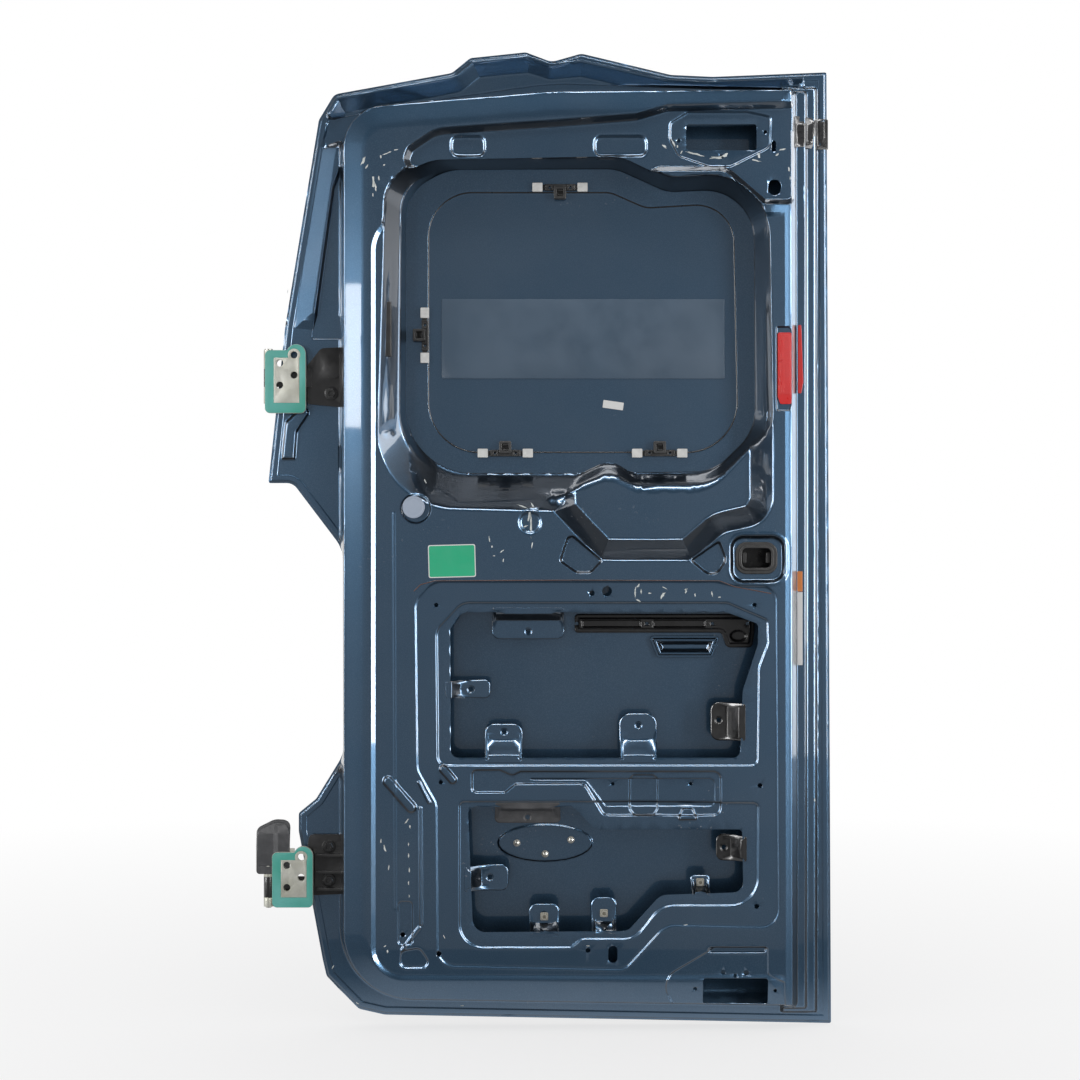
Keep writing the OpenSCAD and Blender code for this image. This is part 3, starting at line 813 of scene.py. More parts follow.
@dataclass(frozen=True)
class Paint:
    """The door's metallic dark blue paint under clear lacquer."""

    base: tuple[float, float, float] = (0.042, 0.098, 0.172)
    flake: tuple[float, float, float] = (0.062, 0.130, 0.212)
    shade: tuple[float, float, float] = (0.010, 0.012, 0.016)
    dust: tuple[float, float, float] = (0.30, 0.32, 0.34)
    primer: tuple[float, float, float] = (0.45, 0.46, 0.46)
    flop: float = 0.85
    metal: float = 0.80
    rough: float = 0.30
    coat: float = 0.9
    coat_rough: float = 0.03
    coat_ior: float = 1.6
    dusty: float = 0.05
    chipped: float = 0.35
    name: str = "door_paint"

    def build(self, effects: Effects) -> bpy.types.Material:
        """Make the material.

        Args:
            effects: the shared shader groups.

        Returns:
            The material.
        """
        mat, n, shader = new_material(self.name)
        at = n.where()
        tint = n.mix(n.span(n.noise(at, 900.0, 0.0), 0.42, 0.75), self.base, self.flake)
        dusty = n.group(effects.dust, Amount=self.dusty)
        chipped = n.group(effects.scuff, Amount=self.chipped)
        cloud = n.span(n.noise(at, 3.0, 2.0), 0.35, 0.65, 0.0, 0.25)
        tint = n.mix(cloud, tint, self.base)
        away = n.add("ShaderNodeLayerWeight", Blend=0.5).outputs["Facing"]
        tint = n.mix(n.span(away, 0.05, 0.32, 0.0, self.flop), tint, self.shade)
        tint = n.mix(dusty, tint, self.dust)
        tint = n.mix(chipped, tint, self.primer)
        n.link(tint, shader.inputs["Base Color"])
        rough = n.math("ADD", n.math("MULTIPLY", chipped, 0.5), self.rough)
        n.link(rough, shader.inputs["Roughness"])
        wave = n.group(effects.wave, Peel=0.02, Waves=1.0)
        bump = n.add("ShaderNodeBump", Height=wave, Strength=0.35, Distance=0.0012)
        n.link(bump.outputs[0], shader.inputs["Normal"])
        shader.inputs["Metallic"].default_value = self.metal
        shader.inputs["Coat Weight"].default_value = self.coat
        shader.inputs["Coat Roughness"].default_value = self.coat_rough
        shader.inputs["Coat IOR"].default_value = self.coat_ior
        return mat


def new_material(name: str) -> tuple[bpy.types.Material, Nodes, bpy.types.Node]:
    """A new material with its Principled shader.

    Args:
        name: the material's name.

    Returns:
        The material, its node helper and its shader.
    """
    mat = bpy.data.materials.new(name)
    mat.use_nodes = True
    n = Nodes(mat.node_tree)
    return mat, n, mat.node_tree.nodes["Principled BSDF"]


@dataclass(frozen=True)
class Finish:
    """A plainer finish: plastic, rubber, foam, bare metal or black paint."""

    name: str
    color: tuple[float, float, float]
    worn: tuple[float, float, float]
    rough: float = 0.5
    metal: float = 0.0
    grain: float = 160.0
    relief: float = 0.25
    coat: float = 0.0
    dust: float = 0.15

    def build(self, effects: Effects) -> bpy.types.Material:
        """Make the material.

        Args:
            effects: the shared shader groups.

        Returns:
            The material.
        """
        mat, n, shader = new_material(self.name)
        at = n.where()
        grain = n.noise(at, self.grain, 3.0)
        patch = n.span(n.noise(at, self.grain * 0.12, 4.0), 0.38, 0.7)
        tint = n.mix(patch, self.color, self.worn)
        tint = n.mix(n.group(effects.dust, Amount=self.dust), tint, DUST_TINT)
        n.link(tint, shader.inputs["Base Color"])
        n.link(
            n.span(grain, 0.2, 0.8, self.rough - 0.08, self.rough + 0.1),
            shader.inputs["Roughness"],
        )
        bump = n.add("ShaderNodeBump", Height=grain, Strength=self.relief, Distance=0.0006)
        n.link(bump.outputs[0], shader.inputs["Normal"])
        shader.inputs["Metallic"].default_value = self.metal
        shader.inputs["Coat Weight"].default_value = self.coat
        shader.inputs["Coat Roughness"].default_value = 0.1
        return mat


FINISHES: tuple[Finish, ...] = (
    Finish(
        "arm_black", (0.004, 0.004, 0.005), (0.010, 0.010, 0.012), 0.34, 0.0, 120, 0.3, 0.5, 0.02
    ),
    Finish("leaf_steel", (0.60, 0.60, 0.54), (0.44, 0.44, 0.36), 0.45, 0.45, 220, 0.4, 0, 0.15),
    Finish("pin_steel", (0.55, 0.55, 0.52), (0.35, 0.34, 0.3), 0.35, 0.9, 200, 0.2, 0, 0.1),
    Finish("gasket_teal", (0.030, 0.40, 0.30), (0.10, 0.52, 0.46), 0.55, 0, 90, 0.5, 0, 0.12),
    Finish("cap_grey", (0.040, 0.042, 0.048), (0.070, 0.072, 0.078), 0.5, 0, 500, 0.4, 0, 0.08),
    Finish("clip_black", (0.012, 0.012, 0.013), (0.03, 0.03, 0.03), 0.45, 0, 300, 0.3, 0, 0.12),
    Finish("pad_white", (0.86, 0.86, 0.83), (0.70, 0.70, 0.67), 0.85, 0, 700, 0.8, 0, 0.05),
    Finish(
        "damping_blue", (0.040, 0.086, 0.142), (0.036, 0.078, 0.130), 0.5, 0.2, 30, 0.2, 0.2, 0.03
    ),
    Finish("plug_blue", (0.42, 0.50, 0.62), (0.36, 0.44, 0.56), 0.45, 0, 200, 0.15, 0.2, 0.1),
    Finish("reflector_red", (0.90, 0.008, 0.008), (0.80, 0.01, 0.01), 0.3, 0, 60, 0.1, 0.2, 0.0),
    Finish("label_green", (0.008, 0.55, 0.27), (0.010, 0.50, 0.24), 0.35, 0, 60, 0.05, 0.5, 0.02),
    Finish("label_white", (0.90, 0.90, 0.88), (0.84, 0.84, 0.82), 0.4, 0, 60, 0.05, 0.2, 0.03),
    Finish("label_orange", (0.90, 0.26, 0.03), (0.85, 0.24, 0.02), 0.4, 0, 60, 0.05, 0.2, 0.05),
    Finish("bare_chip", (0.72, 0.76, 0.74), (0.50, 0.54, 0.52), 0.7, 0.1, 700, 0.6, 0, 0.0),
    Finish("sealant", (0.10, 0.035, 0.028), (0.05, 0.03, 0.03), 0.5, 0, 90, 0.3, 0.2, 0.05),
    # Black finish of the band on the lock-side flange; also painted shade on the field's groove
    # line and behind the release opening.
    Finish("edge_band", (0.012, 0.013, 0.016), (0.02, 0.022, 0.026), 0.3, 0, 200, 0.2, 0.4, 0.04),
    Finish("nut_white", (0.5, 0.48, 0.4), (0.36, 0.34, 0.28), 0.6, 0, 200, 0.3, 0, 0.2),
)


def dress(obj: bpy.types.Object, mat: bpy.types.Material) -> None:
    """Give an object one material on its object slots.

    Args:
        obj: the object.
        mat: the material.
    """
    if not obj.material_slots:
        obj.data.materials.append(None)
    for s in obj.material_slots:
        s.link = "OBJECT"
        s.material = mat


def finish_sheet(obj: bpy.types.Object, thick: float) -> None:
    """Give a pressed sheet its thickness and even shading.

    Args:
        obj: the one-face-thick sheet.
        thick: the sheet's thickness in millimetres.
    """
    solid = obj.modifiers.new("thickness", "SOLIDIFY")
    solid.thickness = thick * MM
    solid.offset = -1
    even = obj.modifiers.new("shading", "WEIGHTED_NORMAL")
    even.weight = 80
    settle(obj)


def from_curve(curve: bpy.types.Curve, name: str, turn: Matrix) -> bpy.types.Object:
    """Turn a curve into a mesh object.

    Args:
        curve: the curve.
        name: name of the piece.
        turn: matrix from the curve's space to the piece's.

    Returns:
        The new object.
    """
    holder = added(name + "_curve", curve)
    mesh = baked(holder)
    mesh.transform(turn)
    if turn.determinant() < 0:
        mesh.flip_normals()
    bpy.data.objects.remove(holder)
    mesh.name = name
    return added(name, mesh)


def slab(
    name: str, outlines: list[Outline], y0: float, y1: float, bevel: float = 0.4
) -> bpy.types.Object:
    """A plate with holes and round edges between two depths.

    Args:
        name: name of the piece.
        outlines: the outer outline and its holes.
        y0: near depth in millimetres.
        y1: far depth in millimetres.
        bevel: radius of the edges.

    Returns:
        The plate.
    """
    curve = bpy.data.curves.new(name, "CURVE")
    curve.dimensions = "2D"
    curve.fill_mode = "BOTH"
    curve.extrude = max((y1 - y0) / 2 - bevel, 0.01) * MM
    curve.bevel_depth = bevel * MM
    curve.bevel_resolution = 2
    for o in outlines:
        pts = o.inset(bevel if o is outlines[0] else -bevel).points(2.0, 60)
        spline = curve.splines.new("POLY")
        spline.points.add(len(pts) - 1)
        spline.use_cyclic_u = True
        for p, (x, z) in zip(spline.points, pts):
            p.co = (x * MM, z * MM, 0, 1)
    turn = Matrix(((1, 0, 0, 0), (0, 0, 1, (y0 + y1) / 2 * MM), (0, 1, 0, 0), (0, 0, 0, 1)))
    obj = from_curve(curve, name, turn)
    smooth(obj, 35)
    return obj


def tube(
    name: str, path: list[tuple[float, float, float]], radius: float, closed: bool = False
) -> bpy.types.Object:
    """A round bead along a path given in millimetres.

    Args:
        name: name of the piece.
        path: its points.
        radius: its radius.
        closed: whether the end meets the start.

    Returns:
        The bead.
    """
    curve = bpy.data.curves.new(name, "CURVE")
    curve.dimensions = "3D"
    curve.bevel_depth = radius * MM
    curve.bevel_resolution = 3
    curve.use_fill_caps = not closed
    spline = curve.splines.new("POLY")
    spline.points.add(len(path) - 1)
    spline.use_cyclic_u = closed
    for p, (x, y, z) in zip(spline.points, path):
        p.co = (x * MM, y * MM, z * MM, 1)
    obj = from_curve(curve, name, Matrix.Identity(4))
    smooth(obj, 60)
    return obj


def lathe(
    name: str, profile: list[Point], at: tuple[float, float, float], sides: int
) -> bpy.types.Object:
    """A turned solid about an axis along Y.

    Args:
        name: name of the piece.
        profile: radius and height pairs, from one end to the other.
        at: centre of height 0 in millimetres.
        sides: number of faces around.

    Returns:
        The solid.
    """
    verts: list[tuple[float, ...]] = []
    faces: list[tuple[int, ...]] = []
    for r, h in profile:
        for k in range(sides):
            t = 2 * math.pi * k / sides
            local = (r * math.cos(t), h, r * math.sin(t))
            verts.append(tuple((a + b) * MM for a, b in zip(at, local)))
    for j in range(len(profile) - 1):
        for k in range(sides):
            m = (k + 1) % sides
            faces.append((j * sides + k, j * sides + m, (j + 1) * sides + m, (j + 1) * sides + k))
    faces.append(tuple(range(sides)))
    faces.append(tuple((len(profile) - 1) * sides + k for k in range(sides)))
    return solid(name, verts, faces, 40)


def solid(
    name: str, verts: list[tuple[float, ...]], faces: list[tuple[int, ...]], sharp: float
) -> bpy.types.Object:
    """A mesh object with outward normals and smooth faces below an angle.

    Args:
        name: name of the piece.
        verts: its points in metres.
        faces: its faces.
        sharp: angle in degrees from which an edge is sharp.

    Returns:
        The object.
    """
    mesh = bpy.data.meshes.new(name)
    mesh.from_pydata(verts, [], faces)
    bm = bmesh.new()
    bm.from_mesh(mesh)
    bmesh.ops.remove_doubles(bm, verts=bm.verts, dist=1e-6)
    bmesh.ops.recalc_face_normals(bm, faces=bm.faces)
    bm.to_mesh(mesh)
    bm.free()
    obj = added(name, mesh)
    smooth(obj, sharp)
    return obj


def smooth(obj: bpy.types.Object, degrees: float) -> None:
    """Smooth faces with sharp edges above an angle.

    Args:
        obj: the object.
        degrees: the angle.
    """
    mesh = obj.data
    bm = bmesh.new()
    bm.from_mesh(mesh)
    limit = math.radians(degrees)
    for f in bm.faces:
        f.smooth = True
    for e in bm.edges:
        e.smooth = len(e.link_faces) == 2 and e.calc_face_angle(0) < limit
    bm.to_mesh(mesh)
    bm.free()


def softened(node: str, width: float, segments: int = 2) -> bpy.types.Object:
    """A copy of a CAD node with round edges.

    Args:
        node: the CAD node's name.
        width: width of the round edges in millimetres.
        segments: number of faces across them.

    Returns:
        The new object, in the frame and unturned.
    """
    source = frame["nodes"][node]
    bm = bmesh.new()
    bm.from_mesh(source.data)
    bm.transform(source.matrix_world)
    bmesh.ops.remove_doubles(bm, verts=bm.verts, dist=2e-6)
    bmesh.ops.dissolve_limit(bm, angle_limit=math.radians(2), verts=bm.verts, edges=bm.edges)
    mesh = bpy.data.meshes.new(node + "_soft")
    bm.to_mesh(mesh)
    bm.free()
    obj = added(node + "_soft", mesh)
    round_ = obj.modifiers.new("edges", "BEVEL")
    round_.width = width * MM
    round_.segments = segments
    round_.limit_method = "ANGLE"
    round_.angle_limit = math.radians(32)
    round_.use_clamp_overlap = True
    settle(obj)
    smooth(obj, 38)
    return obj


def joined(name: str, parts: list[bpy.types.Object]) -> bpy.types.Object:
    """One object made of several, which are removed.

    Args:
        name: name of the piece.
        parts: the objects.

    Returns:
        The joined object.
    """
    bm = bmesh.new()
    for part in parts:
        bm.from_mesh(part.data)
        bpy.data.objects.remove(part)
    mesh = bpy.data.meshes.new(name)
    bm.to_mesh(mesh)
    bm.free()
    return added(name, mesh)


@dataclass
class Fitter:
    """Puts finished pieces on their bodies and keeps count."""

    mats: dict[str, bpy.types.Material]
    placer: bpy.types.NodeTree
    pieces: list[bpy.types.Object] = field(default_factory=list)

    def fit(
        self, obj: bpy.types.Object, body: Body, slot: str, replaces: tuple[str, ...] = (),
        look: str = "",
    ) -> bpy.types.Object:
        """Dress a piece and fix it to its body.

        Args:
            obj: the piece.
            body: the body it rides.
            slot: its material slot in the record.
            replaces: CAD nodes that it stands for.
            look: the finish, where it differs from the slot's own.

        Returns:
            The piece.
        """
        dress(obj, self.mats[look or slot])
        for node in replaces:
            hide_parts(node)
        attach(obj, body.value)
        self.pieces.append(obj)
        LOG.info("%s: %d faces on %s", obj.name, len(obj.data.polygons), body.value)
        return obj

    def placed(
        self, name: str, tool: bpy.types.Object,
        spots: list[tuple[float, float, float, float]], look: str,
    ) -> bpy.types.Object:
        """Copies of a small object at several places, made with Geometry Nodes.

        Args:
            name: name of the result.
            tool: the object to repeat, modelled round the origin; it is removed.
            spots: x, y and z in millimetres and the turn about Y in degrees.
            look: the finish.

        Returns:
            One mesh object with every copy.
        """
        mesh = bpy.data.meshes.new(name + "_spots")
        mesh.from_pydata([tuple(v * MM for v in s[:3]) for s in spots], [], [])
        turn = mesh.attributes.new("turn", "FLOAT_VECTOR", "POINT")
        for item, s in zip(turn.data, spots):
            item.vector = (0, math.radians(s[3]), 0)
        obj = added(name, mesh)
        mod = obj.modifiers.new("placed", "NODES")
        mod.node_group = self.placer
        for socket in self.placer.interface.items_tree:
            if socket.name == "Tool":
                mod[socket.identifier] = tool
            elif socket.name == "Finish":
                mod[socket.identifier] = self.mats[look]
        settle(obj)
        bpy.data.objects.remove(tool)
        return obj


def placer_tree() -> bpy.types.NodeTree:
    """Node group that sets an object on every point, turned by the point's own value.

    Returns:
        The group.
    """
    tree = bpy.data.node_groups.new("place_on_spots", "GeometryNodeTree")
    face = tree.interface
    face.new_socket("Spots", in_out="INPUT", socket_type="NodeSocketGeometry")
    face.new_socket("Tool", in_out="INPUT", socket_type="NodeSocketObject")
    face.new_socket("Finish", in_out="INPUT", socket_type="NodeSocketMaterial")
    face.new_socket("Mesh", in_out="OUTPUT", socket_type="NodeSocketGeometry")
    n = Nodes(tree)
    i, o = n.add("NodeGroupInput"), n.add("NodeGroupOutput")
    info = n.add("GeometryNodeObjectInfo", Object=i.outputs["Tool"])
    turn = n.add("GeometryNodeInputNamedAttribute", data_type="FLOAT_VECTOR", Name="turn")
    put = n.add("GeometryNodeInstanceOnPoints")
    n.link(i.outputs["Spots"], put.inputs["Points"])
    n.link(info.outputs["Geometry"], put.inputs["Instance"])
    n.link(turn.outputs[0], put.inputs["Rotation"])
    real = n.add("GeometryNodeRealizeInstances")
    n.link(put.outputs[0], real.inputs[0])
    color = n.add("GeometryNodeSetMaterial")
    n.link(real.outputs[0], color.inputs["Geometry"])
    n.link(i.outputs["Finish"], color.inputs["Material"])
    n.link(color.outputs[0], o.inputs[0])
    return tree


@dataclass(frozen=True)
class InnerPanel:
    """The pressed inner panel with its window recess, shelf, beads and openings."""

    hem_inset: float = 2.5
    plug_hole_r: float = 11.0

    def forms(self) -> list[Pressing]:
        """The pressings in the order in which they shape the sheet.

        Returns:
            The pressings.
        """
        plateau = Outline((
            (0, 846, 5), (100, 838, 4), (100, 1158, 8), (50, 1166, 8), (40, 1120, 20),
        ))
        wedge = Outline((
            (28, 830, 5), (110, 830, 4), (110, 1098, 6), (74, 1102, 8), (60, 1066, 20),
        ))
        top_band = Outline((
            (62, tz(106), 6), (240, tz(74), 80), (380, tz(54), 80), (420, tz(52), 60),
            (640, tz(58), 80), (790, tz(60), 4), (790, tz(40), 4), (640, tz(46), 40),
            (576, tz(42), 30), (446, tz(12), 20), (400, tz(18), 20), (366, tz(6), 12),
            (278, tz(15), 12), (250, tz(38), 20), (66, tz(71), 10), (48, tz(100), 8),
        ))
        top_slope = Outline((
            (40, tz(150), 6), (790, tz(150), 6), (790, tz(44), 4), (640, tz(50), 40),
            (574, tz(46), 30), (446, tz(17), 20), (400, tz(22), 20), (366, tz(11), 12),
            (280, tz(19), 12), (252, tz(42), 20), (68, tz(76), 10), (54, tz(104), 8),
        ))
        low_strip = Outline((
            (-19, 643, 4), (5, 643, 4), (8, 686, 12), (30, 720, 8), (14, 728, 8), (-13, 702, 12),
        ))
        shelf = Outline((
            (402, 562, 6), (473, 487, 22), (614, 487, 22), (662, 529, 40), (722, 543, 42),
            (739, 575, 40), (739, 720, 30), (470, 720, 20), (402, 640, 20),
        ))
        ledge = Outline((
            (164, 1082, 20), (545, 1060, 10), (560, 1080, 16), (664, 1080, 30), (722, 1030, 14),
            (764, 1030, 16), (800, 1060, 10), (800, 1190, 6), (575, 1184, 20), (528, 1170, 14),
            (400, 1160, 200), (222, 1148, 60), (180, 1120, 20),
        ))
        service = Outline((
            (224, bz(96), 30), (512, bz(90), 26), (574, bz(158), 36), (rx(84), bz(154), 30),
            (rx(88), mz(-8), 24), (680, mz(-7), 60), (650, mz(0), 30), (218, mz(0), 34),
            (190, mz(-32), 30), (193, 170, 30), (222, 118, 24),
        ))
        upper_ring = Outline((
            (224, 174, 16), (716, 174, 12), (718, 326, 22), (732, 362, 12), (731, 400, 10),
            (668, 427, 24), (262, 427, 28), (222, 384, 28),
        ))
        lower_ring = Outline((
            (257, -103, 38), (430, -103, 14), (446, -90, 14), (528, -90, 38), (568, -39, 40),
            (716, -39, 45), (717, 122, 10), (452, 124, 8), (257, 124, 10),
        ))
        bead = Outline((
            (276, 133, 9), (330, 133, 9), (346, 146, 6), (448, 146, 8), (478, 98, 12),
            (660, 98, 14), (660, 170, 14), (352, 170, 6), (340, 164, 6), (322, 172, 8),
            (276, 172, 9),
        ))
        latch = Outline((
            (578, 1130, 10), (592, 1104, 14), (640, 1088, 20), (674, 1088, 16), (735, 1118, 14),
            (738, 1168, 10), (700, 1176, 8), (608, 1176, 8), (578, 1158, 10),
        ))
        low_latch = Outline((
            (586, -192, 10), (758, -192, 4), (756, -152, 4), (731, -140, 4), (731, -98, 6),
            (648, -98, 6), (560, -150, 30),
        ))
        return [
            dent(SKIN_EDGE.inset(3.5), 1.5, -0.8),
            dent(SKIN_EDGE.inset(11), 2.5, 0.8),
            lift(top_band, 3, 15, 0.3),
            dent(top_slope, 22, 15, 0.12),
            lift(plateau, 28, 8, 0.08),
            dent(wedge, 6, 9, 0.3),
            lift(low_strip, 5, 6),
            Box(rect(rx(80), rx(21), bz(16), tz(54), 6), 6, 9, 0, 0.45),
            Box(rect(rx(80), rx(38), bz(24), tz(62), 6), 6, LOCK_STEP_Y, 0, 0.4),
            Box(BOX_EDGE, 12, NEAR_Y + 6, 0, 0.13),
            Box(BOX_EDGE.inset(6), 42, NEAR_Y, 0, 0.25, 6.0),
            sink(Outline(((124, -150, 50), (790, -150, 10), (790, 1020, 10), (124, 1020, 60))),
                 9, SERVICE_Y, 0.2),
            sink(ledge, 11, LEDGE_Y, 0.14),
            sink(Outline((
                (741, 716, 4), (762, 716, 4), (768, 730, 6), (768, 836, 6), (762, 846, 4),
                (741, 846, 4),
            )), 3, REFLECTOR_Y),
            lift(bar(162, -40, 160, 560, 4), 5, 1.0),
            sink(shelf, 36, 8, 0.1),
            Slope(WINDOW_OUTER, 1, WINDOW_Y, 0, 0.09),
            dent(service, 5, 2),
            dent(upper_ring, 5, 3),
            dent(lower_ring, 5, 3),
            dent(bead, 5, 4),
            dent(Outline((
                (482, 112, 6), (650, 112, 10), (650, 158, 10), (366, 158, 4), (366, 152, 4),
                (452, 152, 6),
            )), 4, 2.5),
            dent(Outline((
                (526, 98, 6), (556, 98, 6), (563, 108, 5), (563, 158, 6), (555, 164, 6),
                (524, 164, 6), (517, 158, 6), (517, 108, 5),
            )), 4, 3),
            lift(Outline(((590, 92, 4), (624, 92, 4), (616, 113, 8), (598, 113, 8))), 4, 4),
            sink(RELEASE_EDGE, 8, NEAR_Y + 12),
            lift(RELEASE_EDGE.inset(-5), 5, 0.8),
            dent(latch, 5, 3),
            dent(low_latch, 4, 2.5),
            dent(bar(642, -104, 722, -104, 6), 4, 3),
            dent(rect(243, 301, 1103, 1140, 14), 7, 4),
            dent(rect(462, 548, 1103, 1140, 14), 7, 4),
            lift(bar(151, 153, 186, 113, 10), 6, 5),
            lift(bar(198, 151, 213, 121, 4), 4, 2.5),
            lift(bar(235, 171, 249, 155, 8), 5, 5),
            lift(bar(200, 112, 201, -64, 4), 4, 2.5),
            lift(bar(198, -70, 172, -104, 4), 4, 2.5),
            dent(rect(164, 190, -98, -28, 8), 4, 2.5),
            dent(Outline((
                (166, -134, 12), (224, -134, 12), (200, -98, 14), (168, -104, 10),
            )), 5, 3),
            dent(oval(367, mz(88), 20, 20), 8, 4),
            dent(Outline((
                (410, 487, 8), (437, 468, 16), (460, 468, 14), (480, 489, 6), (425, 535, 10),
            )), 5, 7, 0.3),
            dent(Outline((
                (608, 489, 5), (636, 466, 22), (654, 466, 20), (668, 490, 14), (656, 522, 6),
            )), 5, 7, 0.3),
            dent(oval(193, mz(109), 24, 24, 16), 4, 3, 0.3),
        ]

    def holes(self) -> list[Outline]:
        """The openings and fastening holes cut through the sheet.

        Returns:
            Their outlines.
        """
        small = [
            (224, mz(-38), 3.5), (rx(123), mz(-38), 3.5), (461, mz(-20), 4.5),
            (484, mz(-17), 8), (231, 151, 3.5), (rx(115), 146, 4), (455, bz(122), 4),
            (rx(120), -38, 4), (228, bz(117), 4), (173, bz(146), 4), (493, 148, 3), (612, 148, 3),
            (661, -138, 4), (696, -139, 4.5), (679, -143, 3), (618, -163, 3), (740, -166, 3),
            (594, 1130, 3), (726, 1143, 3), (659, 1106, 3.5), (190, mz(111), self.plug_hole_r),
        ]
        out = [
            WINDOW_INNER, UPPER_HOLE, LOWER_HOLE, RELEASE_HOLE, UPPER_LATCH_HOLE,
            LOWER_LATCH_HOLE, bar(493, bz(110), 493, bz(122), 7),
            bar(rx(92), tz(218), rx(92), tz(214), 10), bar(739, 1116, 739, 1126, 3.5),
            bar(73, 634, 73, 664, 2),
        ]
        return out + [oval(x, z, r, r, 8) for x, z, r in small]

    def build(self, fitter: Fitter) -> None:
        """Press, cut and dress the panel.

        Args:
            fitter: fixes the piece to its body.
        """
        edge = SKIN_EDGE.inset(self.hem_inset)
        obj = pressed_sheet("inner_pressing", edge, FLANGE_Y, self.forms(), self.holes())
        finish_sheet(obj, SHEET_T)
        fitter.fit(obj, Body.DOOR, "door_paint", ("inner_panel",))


@dataclass(frozen=True)
class Box(Pressing):
    """A raised form that lifts only what lies deeper than its level."""

    def apply(self, points: np.ndarray, y: np.ndarray) -> np.ndarray:
        """The sheet's depth after this form.

        Args:
            points: x and z pairs.
            y: depth before.

        Returns:
            Depth after.
        """
        d = depth_in(points, self.outline.points(self.fine), self.wall)
        s = ramp(d / self.wall, self.soft)
        return y - s * np.maximum(y - self.level, 0)


@dataclass(frozen=True)
class OuterSkin:
    """The outer skin with its crown, the blank window field and the bare badge seat."""

    crown_wall: float = 52.0
    field_step: float = 2.5
    seat_lift: float = 2.5
    # Radius of the black tube of painted shade along the window field's step.
    shade_line_r: float = 1.3

    def build(self, fitter: Fitter) -> None:
        """Press and dress the skin.

        Args:
            fitter: fixes the piece to its body.
        """
        forms = [
            Recess(BULGE_EDGE, self.crown_wall, DEEP_Y, 0, 0.45, 8.0),
            dent(FIELD_EDGE, 2.5, self.field_step),
            lift(oval(390, 49, 74, 30, 28), 4, self.seat_lift),
        ]
        obj = pressed_sheet("skin_pressing", SKIN_EDGE, HEM_Y, forms, [])
        finish_sheet(obj, SHEET_T)
        fitter.fit(obj, Body.DOOR, "door_paint", ("outer_skin",))
        # A black tube along the step round the window field: painted shade that draws the field's
        # groove as a dark line.
        ring = FIELD_EDGE.inset(1.2).points(3.0, 20)
        path = [(float(x), DEEP_Y + 1.0, float(z)) for x, z in ring]
        line = tube("field_line", path, self.shade_line_r, True)
        fitter.fit(line, Body.DOOR, "door_paint", look="edge_band")
        # A black sheet on the skin behind the release opening: painted shade that darkens the deep
        # well seen through it.
        well_shadow_sheet = slab("release_pad", [rect(684, 740, 470, 520, 5)], DEEP_Y - 1.6, DEEP_Y - 0.2, 0.4)
        fitter.fit(well_shadow_sheet, Body.DOOR, "door_paint", look="edge_band")
        shape = turned(rect(480, 512, 724, 736, 1), 496, 730, -8)
        note = slab("field_sticker", [shape], FIELD_Y - 0.5, FIELD_Y - 0.2, 0.1)
        fitter.fit(note, Body.DOOR, "door_paint", look="label_white")


@dataclass(frozen=True)
class Sealant:
    """The thin bead of old sealant above the service openings."""

    turns: tuple[Point, ...] = (
        (190, 442), (200, 452), (222, 458), (440, 459), (655, 458), (678, 449), (742, 437),
    )
    radius: float = 0.8
    step: float = 8.0

    def build(self, fitter: Fitter) -> None:
        """Lay the bead on the panel.

        Args:
            fitter: fixes the piece to its body.
        """
        path: list[Point] = []
        for (x0, z0), (x1, z1) in zip(self.turns, self.turns[1:]):
            n = max(2, int(abs(x1 - x0) / self.step))
            path.extend((x0 + (x1 - x0) * k / n, z0 + (z1 - z0) * k / n) for k in range(n))
        flat = np.array(path)
        depths = surface_mm(flat) - 0.2
        spots = [(float(x), float(y), float(z)) for (x, z), y in zip(flat, depths)]
        bead = tube("sealant_bead", spots, self.radius)
        fitter.fit(bead, Body.DOOR, "door_paint", look="sealant")


def surface_mm(points: np.ndarray) -> np.ndarray:
    """Depth of the inner panel's near side at x and z pairs in millimetres.

    Args:
        points: the pairs.

    Returns:
        The depths.
    """
    y = np.full(len(points), FLANGE_Y)
    for form in InnerPanel().forms():
        y = form.apply(points, y)
    return y


